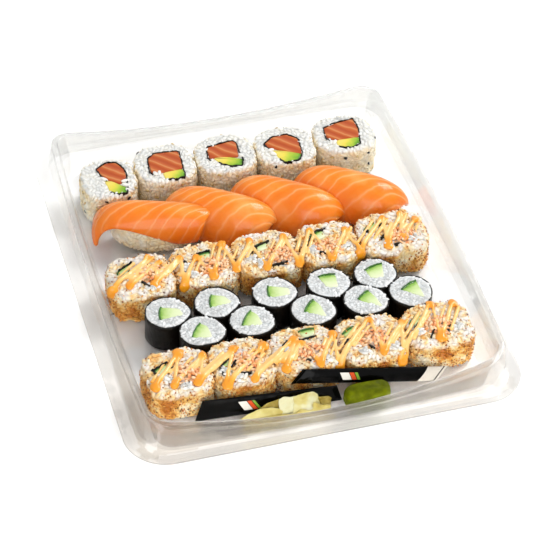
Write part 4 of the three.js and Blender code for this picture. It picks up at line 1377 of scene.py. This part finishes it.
# %% Nigiri
nigiri_grains = []
rng = random.Random(51)
for k, (x, y, turn, *ends, fronts) in enumerate(NIGIRI):
    name = f"salmon_nigiri_{k + 1}"
    bare = fronts[0] < SIDE_DROP  # the first slice leaves the front of its rice bare
    spin = Matrix.Translation((x, y, 0)) @ Matrix.Rotation(math.radians(turn), 4, "Z")
    top_slice = slice_shape(ends, fronts)
    bmesh.ops.transform(top_slice, matrix=spin, verts=top_slice.verts)
    moved = lay_on_solid(top_slice, name, 30.0 if bare else 12.0)
    for _ in range(2):
        bmesh.ops.smooth_vert(
            top_slice, verts=top_slice.verts, factor=0.5, use_axis_x=True, use_axis_y=True, use_axis_z=True
        )
    block = block_shape(1.6, 0.6, 4.5) if bare else block_shape(2.4, 0.7, 0.0)
    bmesh.ops.transform(block, matrix=spin, verts=block.verts)
    lay_on_solid(block, name, 3.0 if bare else 0.2)
    cover = BVHTree.FromBMesh(top_slice)

    def on_bare_rice(point, normal, cover=cover):
        return normal[2] > -0.6 and cover.ray_cast(Vector(point), Vector(normal), 5.0)[0] is None

    for point, normal in spots_on(block, GRAIN_SPACING, 700 + k, on_bare_rice):
        nigiri_grains.append(laid(point, normal, GRAIN, rng, lift=0.0))
    made = piece(f"salmon_slice_{k + 1}", top_slice, [salmon], [name])
    soft = made.modifiers.new("soft", "SUBSURF")
    soft.levels = soft.render_levels = 1
    piece(f"rice_block_{k + 1}", block, [rice])
    print(name, "laid back", moved, "points")
copies("rice_grains_nigiri", grain(), nigiri_grains, [rice])

# %% [markdown]
# ## The sachets
#
# A sauce sachet is a tube of printed film, pressed flat and sealed at both ends. It is modelled as
# two grids between the same four corners, one bulging up and one down, that meet along their
# edges. The print is made of plain fields of colour in the sachet's own map. Its lacquer is smooth,
# so the film has sharp bright highlights along its creases.

# %% Film of the sachets
SACHETS = [  # corners: top left, top right, bottom left, bottom right
    ((-65.5, -100.8, 15), (9.0, -104.4, 11.3), (-70.5, -103.6, 2.8), (11.5, -107.8, 2.6)),
    ((-9, -98.7, 22.6), (74, -101.9, 7.4), (-16, -100.5, 15), (66, -107.1, 2.6)),
]
SACHET_BULGE = 1.5
CLEAR_END = 0.86  # share of the length where the print stops on the second sachet


def film(name, print_end):
    """Black film with a generic print in UV map "film": u along, v up."""
    lacquer = {"Roughness": 0.16, "IOR": 1.4, "Specular IOR Level": 0.14}
    made, tree, surface, places = new_finish(name, lacquer)
    on_film = add(tree, "SeparateXYZ", {}, {0: add(tree, "UVMap", {"uv_map": "film"}).outputs["UV"]})
    u, v = on_film.outputs["X"], on_film.outputs["Y"]
    lean = add(tree, "Math", {"operation": "MULTIPLY_ADD", 1: 0.12}, {0: v, 2: u})
    fields = [(0.36, 0.42, "#E8E4DA"), (0.425, 0.455, "#D8552A"), (0.46, 0.48, "#7FA63A")]
    below = add(tree, "Math", {"operation": "LESS_THAN", 1: 0.78}, {0: v})
    above = add(tree, "Math", {"operation": "GREATER_THAN", 1: 0.3}, {0: v})
    band = add(tree, "Math", {"operation": "MULTIPLY"}, {0: below.outputs[0], 1: above.outputs[0]})
    colour = None
    for low, high, code in fields:
        after = add(tree, "Math", {"operation": "GREATER_THAN", 1: low}, {0: lean.outputs[0]})
        before = add(tree, "Math", {"operation": "LESS_THAN", 1: high}, {0: lean.outputs[0]})
        both = add(tree, "Math", {"operation": "MULTIPLY"}, {0: after.outputs[0], 1: before.outputs[0]})
        shown = add(tree, "Math", {"operation": "MULTIPLY"}, {0: both.outputs[0], 1: band.outputs[0]})
        colours = {"data_type": "RGBA", 6: srgb("#040404"), 7: srgb(code)}
        mixed = add(tree, "Mix", colours, {"Factor": shown.outputs[0]})
        if colour:
            tree.links.new(colour, mixed.inputs[6])
        colour = mixed.outputs[2]
    if print_end < 1:
        past = add(tree, "Math", {"operation": "GREATER_THAN", 1: print_end}, {0: u})
        blank = {"data_type": "RGBA", 7: srgb("#CFC8BC")}
        mixed = add(tree, "Mix", blank, {"Factor": past.outputs[0], 6: colour})
        colour = mixed.outputs[2]
    tree.links.new(colour, surface.inputs["Base Color"])
    crease = add(tree, "TexNoise", {"Scale": per(11), "Detail": 2.0, "Distortion": 0.8}, {"Vector": places})
    relief(tree, surface, crease.outputs["Fac"], 0.8)
    return made


films = [film("black_printed_film_1", 1.0), film("black_printed_film_2", CLEAR_END)]
print("films:", [made.name for made in films])

# %% Sachets
SEALED = 0.93  # share of the length, from the middle on, where the seal starts


def sachet(corners, thickness):
    """Two bulging sheets between four corners."""
    top_left, top_right, bottom_left, bottom_right = (Vector(c) for c in corners)
    normal = (top_right - top_left).cross(bottom_left - top_left).normalized()
    bm = bmesh.new()
    uv = bm.loops.layers.uv.new("film")
    for side in (-1, 1):
        before = set(bm.verts)
        bmesh.ops.create_grid(bm, x_segments=56, y_segments=14, size=1)
        fresh = [v for v in bm.verts if v not in before]
        for f in {f for v in fresh for f in v.link_faces}:
            for loop in f.loops:
                loop[uv].uv = ((loop.vert.co.x + 1) / 2, (loop.vert.co.y + 1) / 2)
        for vert in fresh:
            u, v = (vert.co.x + 1) / 2, (vert.co.y + 1) / 2
            upper, lower = top_left.lerp(top_right, u), bottom_left.lerp(bottom_right, u)
            ends = max(0.0, 1 - (abs(2 * u - 1) / SEALED) ** 6)
            swell = math.sqrt(ends) * (1 - (2 * v - 1) ** 2) ** 0.6 if 0 < v < 1 else 0.0
            spot = lower.lerp(upper, v)
            crease = 0.35 * noise.noise(spot / 9) if 0.001 < v < 0.999 and ends > 0 else 0.0
            vert.co = spot + normal * (side * thickness * swell + crease * swell)
    bmesh.ops.remove_doubles(bm, verts=bm.verts, dist=1e-3)
    bmesh.ops.recalc_face_normals(bm, faces=bm.faces)
    return bm


for k, (corners, finish) in enumerate(zip(SACHETS, films)):
    bag = sachet(corners, SACHET_BULGE)
    piece(f"black_sachet_{k + 1}", bag, [finish], [f"sauce_sachet_{k + 1}"])
    top_edge = Vector(corners[1]) - Vector(corners[0])
    print("sachet", k + 1, "is", round(top_edge.length), "mm long at the top")

# %% [markdown]
# ## Ginger and wasabi
#
# Ginger comes as a tangle of shaved slices. Each one is a thin sheet between four corners, bowed to
# the front, waved and torn a little at its edge. Most of them stand up against the sachets behind
# them, and the last ones lie in front. The wasabi is a squeezed lump with a dimple.

# %% Slices of ginger
GINGER_SHEET = 0.35
GINGER_SLICES = [  # corners from the low left one on, bow, arch of the top, how pale and lit it is (low values are painted shade)
    (
        [(-34.6, -108.5, 4.4), (-22.8, -108.5, 3.4), (-24.4, -107.5, 13.0), (-36.0, -107.5, 9.0)],
        0.5, 0.3, 0.1,
    ),
    (
        [(-52.5, -111.5, 3.6), (-23.4, -112.5, 1.9), (-23.6, -109.0, 7.0), (-38.0, -109.0, 9.6)],
        0.5, 0.6, 0.55,
    ),
    (
        [(-24.6, -110.0, 3.0), (-14.8, -110.0, 2.0), (-15.4, -108.5, 14.2), (-25.4, -108.5, 14.2)],
        0.6, 0.3, 1.0,
    ),
    (
        [(-17.4, -111.0, 1.4), (-0.8, -109.5, 2.6), (-3.6, -108.2, 13.2), (-17.6, -109.4, 14.6)],
        2.6, 3.2, 0.75,
    ),
    (
        [(-3.0, -108.6, 1.4), (5.0, -108.6, 1.4), (5.0, -107.8, 7.0), (-3.8, -107.8, 9.4)],
        0.5, 0.3, 0.1,
    ),
    (
        [(-18.5, -113.0, 1.6), (-2.6, -113.0, 1.6), (-0.4, -110.6, 5.0), (-8.6, -111.0, 10.8)],
        0.9, 0.2, 0.45,
    ),
    (
        [(-6.5, -112.0, 1.4), (4.0, -111.4, 1.4), (4.6, -109.6, 2.6), (-1.2, -109.9, 4.0)],
        0.3, 0.2, 0.4,
    ),
    (
        [(-48.0, -115.0, 1.4), (-14.0, -115.0, 1.4), (-15.0, -112.0, 3.8), (-45.0, -111.6, 5.0)],
        0.4, 0.4, 0.5,
    ),
]


def ginger_slice(corners, bow, arch, rng):
    """One shaved sheet of ginger between four corners, bowed to the front, with a wavy torn edge."""
    bm = bmesh.new()
    bmesh.ops.create_grid(bm, x_segments=24, y_segments=16, size=1)
    low_left, low_right, high_right, high_left = (Vector(corner) for corner in corners)
    front = (low_right - low_left).cross(high_left - low_left).normalized()
    if front.y > 0:
        front = -front
    phase = rng.uniform(0, 6)
    for v in bm.verts:
        a, b = v.co.x, v.co.y
        torn = 1 + 0.1 * noise.noise(Vector((1.8 * a, 1.8 * b, 7 * phase))) * (a * a + b * b)
        a, b = a * math.sqrt(1 - 0.16 * b * b) * torn, b * math.sqrt(1 - 0.2 * a * a) * torn
        low, high = low_left.lerp(low_right, (a + 1) / 2), high_left.lerp(high_right, (a + 1) / 2)
        wave = bow * (1 - a * a) + 0.3 * math.sin(3.4 * a + 1.5 * b + phase)
        wave += 0.15 * math.sin(5 * b - 2 * a + phase)
        v.co = low.lerp(high, (b + 1) / 2) + front * wave
        v.co.z += arch * (1 - a * a) * (b + 1) / 2
    return bm


print("ginger:", len(GINGER_SLICES), "slices")

# %% Heap of ginger
rng = random.Random(61)
heap = bmesh.new()
tones = []
for *form, tone in GINGER_SLICES:
    part = ginger_slice(*form, rng)
    tones += [tone] * len(part.verts)
    sheet = bpy.data.meshes.new("sheet")
    part.to_mesh(sheet)
    part.free()
    heap.from_mesh(sheet)
    bpy.data.meshes.remove(sheet)
# Each slice's share of paleness and painted light goes to its points.
pale = heap.verts.layers.float.new("pale")
for v, tone in zip(heap.verts, tones):
    v[pale] = tone
low = box_of("pickled_ginger")[0]
for v in heap.verts:
    v.co.z = max(v.co.z, low.z)
made = piece("ginger_slices", heap, [ginger], ["pickled_ginger"])
thicken = made.modifiers.new("thickness", "SOLIDIFY")
thicken.thickness = GINGER_SHEET * MM
soft = made.modifiers.new("soft", "SUBSURF")
soft.levels = soft.render_levels = 1
print("the heap has", len(tones), "points")

# %% Wasabi
low, high = box_of("wasabi")
middle, half = (low + high) / 2, (high - low) / 2
lump = bmesh.new()
bmesh.ops.create_icosphere(lump, subdivisions=4, radius=1)
DIMPLE = Vector((0.45, 0.1, 0.9)).normalized()  # where it lies, seen from the middle
DIMPLE_DEPTH, DIMPLE_WIDTH = 1.6, 0.25
for v in lump.verts:
    way = v.co.normalized()
    boxy = [math.copysign(abs(c) ** 0.55, c) for c in way]
    spot = Vector((boxy[0] * half.x * 0.98, boxy[1] * half.y * 0.96, boxy[2] * half.z))
    dent = DIMPLE_DEPTH * math.exp(-(((way - DIMPLE).length / DIMPLE_WIDTH) ** 2))
    v.co = middle + spot + 0.5 * noise.noise(way * 2.2) * way - dent * DIMPLE
piece("wasabi_lump", lump, [wasabi], ["wasabi"])
print("wasabi:", [round(2 * h) for h in half], "mm")

# %% [markdown]
# ## The clear tray
#
# The tray is one sheet pressed over a mould: a flat floor, an inner wall, a narrow raised crest, an
# outer skirt and a flat flange. Each level is a ring with round corners and slightly bulging
# sides. A grid is bent round so that its rows lie on those rings, its seam is closed, and the
# sheet then gets its thickness. The floor, the rim and the skirt each get their own plastic, with
# more painted shade on the rim and the most on the skirt.

# %% Rings of the tray
TRAY_LOW, TRAY_HIGH = box_of("clear_tray")
TRAY_WIDTH, TRAY_DEPTH = TRAY_HIGH.x - TRAY_LOW.x, TRAY_HIGH.y - TRAY_LOW.y
TRAY_CORNER = 23.7
INNER_CORNER = 9.0
SHEET = 0.8
FLANGE_TOP = 7.8
CREST = TRAY_HIGH.z
CREST_DIP = 12.6  # how far the crest sinks in the middle of the front and of the back
CORNER_STEPS, SIDE_STEPS = 14, 26


def ring(inset, bow_x, bow_y, height):
    """One level of the tray: a closed line of points."""
    half_x, half_y = TRAY_WIDTH / 2 - inset, TRAY_DEPTH / 2 - inset
    radius = max(TRAY_CORNER - inset, INNER_CORNER)
    straight_x, straight_y = half_x - radius, half_y - radius
    points = []
    corners = [(1, 1), (-1, 1), (-1, -1), (1, -1)]
    for quarter, (sign_x, sign_y) in enumerate(corners):
        for k in range(CORNER_STEPS + 1):
            angle = math.pi / 2 * (quarter + k / CORNER_STEPS)
            x = sign_x * straight_x + radius * math.cos(angle)
            y = sign_y * straight_y + radius * math.sin(angle)
            points.append((x, y))
        next_x, next_y = corners[(quarter + 1) % 4]
        from_x, from_y = points[-1]
        to_x = from_x if quarter % 2 else next_x * straight_x
        to_y = next_y * straight_y if quarter % 2 else from_y
        for k in range(1, SIDE_STEPS):
            share = k / SIDE_STEPS
            points.append((from_x + (to_x - from_x) * share, from_y + (to_y - from_y) * share))
    made = []
    for x, y in points:
        a, b = x / half_x, y / half_y
        bulge_x = bow_x * math.copysign(1, x) * (1 - b * b) * a * a
        bulge_y = bow_y * math.copysign(1, y) * (1 - a * a) * b * b
        made.append(Vector((x + bulge_x, y + bulge_y, height(a, b))))
    return made


def level(z):
    """The same height all round."""
    return lambda a, b: z


def crest(below):
    """The crest dips in the middle of the front and the back."""
    return lambda a, b: CREST - CREST_DIP * (1 - min(abs(a), 1) ** 2) * abs(b) ** 6 - below


def between(one, other, share):
    """A height that lies a share of the way from one to the other."""
    return lambda a, b: one(a, b) * (1 - share) + other(a, b) * share


print("a ring has", len(ring(0.0, 0, 0, level(0.0))), "points")

# %% Levels of the tray
WALL_FOOT, WALL_HEAD = 17.9, 14.9  # insets of the inner wall
SKIRT_HEAD, SKIRT_FOOT = 10.6, 8.2  # insets of the outer skirt

# The floor, with a rounded step up to the wall.
levels = [ring(20.4 + 3 * k, 0.6 + 0.2 * k, 3.5, level(SHEET)) for k in (3, 2, 1)]
levels.append(ring(20.4, 0.6, 3.5, level(SHEET)))
levels.append(ring(19.1, 0.6, 3.5, level(SHEET + 0.35)))
levels.append(ring(18.3, 0.6, 3.5, level(SHEET + 1.7)))

# The inner wall, which bulges more the higher it gets.
for share in (0.2, 0.4, 0.6, 0.8):
    inset = WALL_FOOT + (WALL_HEAD - WALL_FOOT) * share
    bows = (0.8 + 3.2 * share, 3.5 + 0.5 * share)
    levels.append(ring(inset, *bows, between(level(SHEET + 4), crest(1.6), share)))

# The crest: insets, and how far each ring lies under the top.
CREST_RINGS = [(14.8, 1.3), (14.5, 0.5), (14.0, 0.1), (12.7, 0.0), (11.5, 0.1), (10.9, 0.5), (10.6, 1.3)]
for inset, below in CREST_RINGS:
    levels.append(ring(inset, 4, 4, crest(below)))

# The outer skirt.
for share in (0.25, 0.5, 0.75):
    inset = SKIRT_HEAD + (SKIRT_FOOT - SKIRT_HEAD) * share
    bow = 4 + (1.5 - 4) * share
    levels.append(ring(inset, bow, bow, between(crest(1.3), level(FLANGE_TOP + 1.4), share)))

# The flange: insets, bows, and how far each ring lies over the flange.
FLANGE_RINGS = [
    (8.0, 1.5, 0.7), (7.4, 1.5, 0.15), (6.6, 1.5, 0.0), (3.0, 0.6, 0.0), (0.6, 0, 0.0), (0.05, 0, -0.05),
]
for inset, bow, over in FLANGE_RINGS:
    levels.append(ring(inset, bow, bow, level(FLANGE_TOP + over)))
print("levels:", len(levels), "from", round(min(p.z for line in levels for p in line), 1), "mm up")

# %% Tray
SKIRT_FACES = (-10.5, -7.0)  # how far out the skirt's faces lie, from the tray's edge on
around = len(levels[0])
sheet = bmesh.new()
bmesh.ops.create_grid(sheet, x_segments=around, y_segments=len(levels) - 1, size=1)
for v in sheet.verts:
    column = round((v.co.x + 1) / 2 * around)
    row = round((v.co.y + 1) / 2 * (len(levels) - 1))
    v.co = levels[row][column % around]
bmesh.ops.remove_doubles(sheet, verts=sheet.verts, dist=1e-3)
rim = [e for e in sheet.edges if e.is_boundary and e.verts[0].co.z < 2]
bmesh.ops.contextual_create(sheet, geom=rim)
bmesh.ops.recalc_face_normals(sheet, faces=sheet.faces)
floor_face = max(sheet.faces, key=lambda f: f.calc_area())
if floor_face.normal.z < 0:
    bmesh.ops.reverse_faces(sheet, faces=sheet.faces)
for f in sheet.faces:
    middle = f.calc_center_median()
    out = max(abs(middle.x) - TRAY_WIDTH / 2, abs(middle.y) - TRAY_DEPTH / 2)
    # Floor, rim and skirt faces get plastics with more and more painted shade.
    f.material_index = 0 if middle.z < SHEET + 1 else 2 if SKIRT_FACES[0] < out < SKIRT_FACES[1] else 1
tray = piece("tray_sheet", sheet, [clear_floor, clear_rim, clear_skirt], ["clear_tray"])
thicken = tray.modifiers.new("thickness", "SOLIDIFY")
thicken.thickness = SHEET * MM
thicken.offset = -1
thicken.use_even_offset = True
print("tray:", around, "points round,", len(levels), "levels")

# %% [markdown]
# ## Floor, light and camera
#
# The platter stands on a plain white floor under a wide soft sky, with one large lamp high on the
# right at the back. That lamp gives the wet slices their gloss. A larger and softer lamp low in
# front brightens the sides that face the camera. The camera looks down at 43 degrees from far away
# through a long lens, so the sides stay nearly parallel.

# %% Floor and light
FLOOR_DEPTH = -0.0002  # the floor lies just under the tray, in metres

# Matt paper throws the light back evenly and shows no lamp.
ground = bmesh.new()
bmesh.ops.create_grid(ground, x_segments=1, y_segments=1, size=4)
bmesh.ops.translate(ground, vec=(0, 0, FLOOR_DEPTH), verts=ground.verts)
ground_mesh = bpy.data.meshes.new("studio_floor")
ground.to_mesh(ground_mesh)
ground.free()
white, tree, surface, places = new_finish("white_paper", {"Roughness": 0.9, "Specular IOR Level": 0.1})
surface.inputs["Base Color"].default_value = srgb("#FFFFFF")
ground_mesh.materials.append(white)
studio_floor = bpy.data.objects.new("studio_floor", ground_mesh)
bpy.context.scene.collection.objects.link(studio_floor)

world = bpy.data.worlds.new("soft_sky")
world.use_nodes = True
world.node_tree.nodes["Background"].inputs["Color"].default_value = srgb("#FFFFFF")
world.node_tree.nodes["Background"].inputs["Strength"].default_value = 0.8
bpy.context.scene.world = world


def lamp(name, place, size, power):
    """A square soft lamp that faces the platter. Size and place are in metres, power in watts."""
    light = bpy.data.lights.new(name, "AREA")
    light.size = size
    light.energy = power
    holder = bpy.data.objects.new(name, light)
    holder.location = place
    holder.rotation_euler = (-Vector(place)).to_track_quat("-Z", "Y").to_euler()
    bpy.context.scene.collection.objects.link(holder)


lamp("key_lamp", (1.1, 0.5, 1.05), 0.6, 12)
lamp("front_lamp", (-0.3, -1.55, 0.55), 1.2, 14)
print("lamps:", [light.name for light in bpy.data.lights])

# %% Camera
AZIMUTH, ELEVATION, ROLL = math.radians(-17.44), math.radians(43.06), math.radians(2.01)
CAMERA_PLACE = Vector((-298.98, -965.85, 945.86)) * MM
SENSOR = 36
FOCAL_LENGTH = 157.36
back = Vector(
    (math.sin(AZIMUTH) * math.cos(ELEVATION), -math.cos(AZIMUTH) * math.cos(ELEVATION), math.sin(ELEVATION))
)
right = (-back).cross(Vector((0, 0, 1))).normalized()
up = right.cross(-back)
across = math.cos(ROLL) * right + math.sin(ROLL) * up
upward = -math.sin(ROLL) * right + math.cos(ROLL) * up
eye = bpy.data.cameras.new("camera")
eye.sensor_width = SENSOR
eye.lens = FOCAL_LENGTH
eye.clip_end = 20
camera = bpy.data.objects.new("camera", eye)
camera.matrix_world = Matrix.Translation(CAMERA_PLACE) @ Matrix((across, upward, back)).transposed().to_4x4()
bpy.context.scene.collection.objects.link(camera)
bpy.context.scene.camera = camera
bpy.context.scene.view_settings.view_transform = "Standard"
print("camera", round(CAMERA_PLACE.length, 2), "m away")
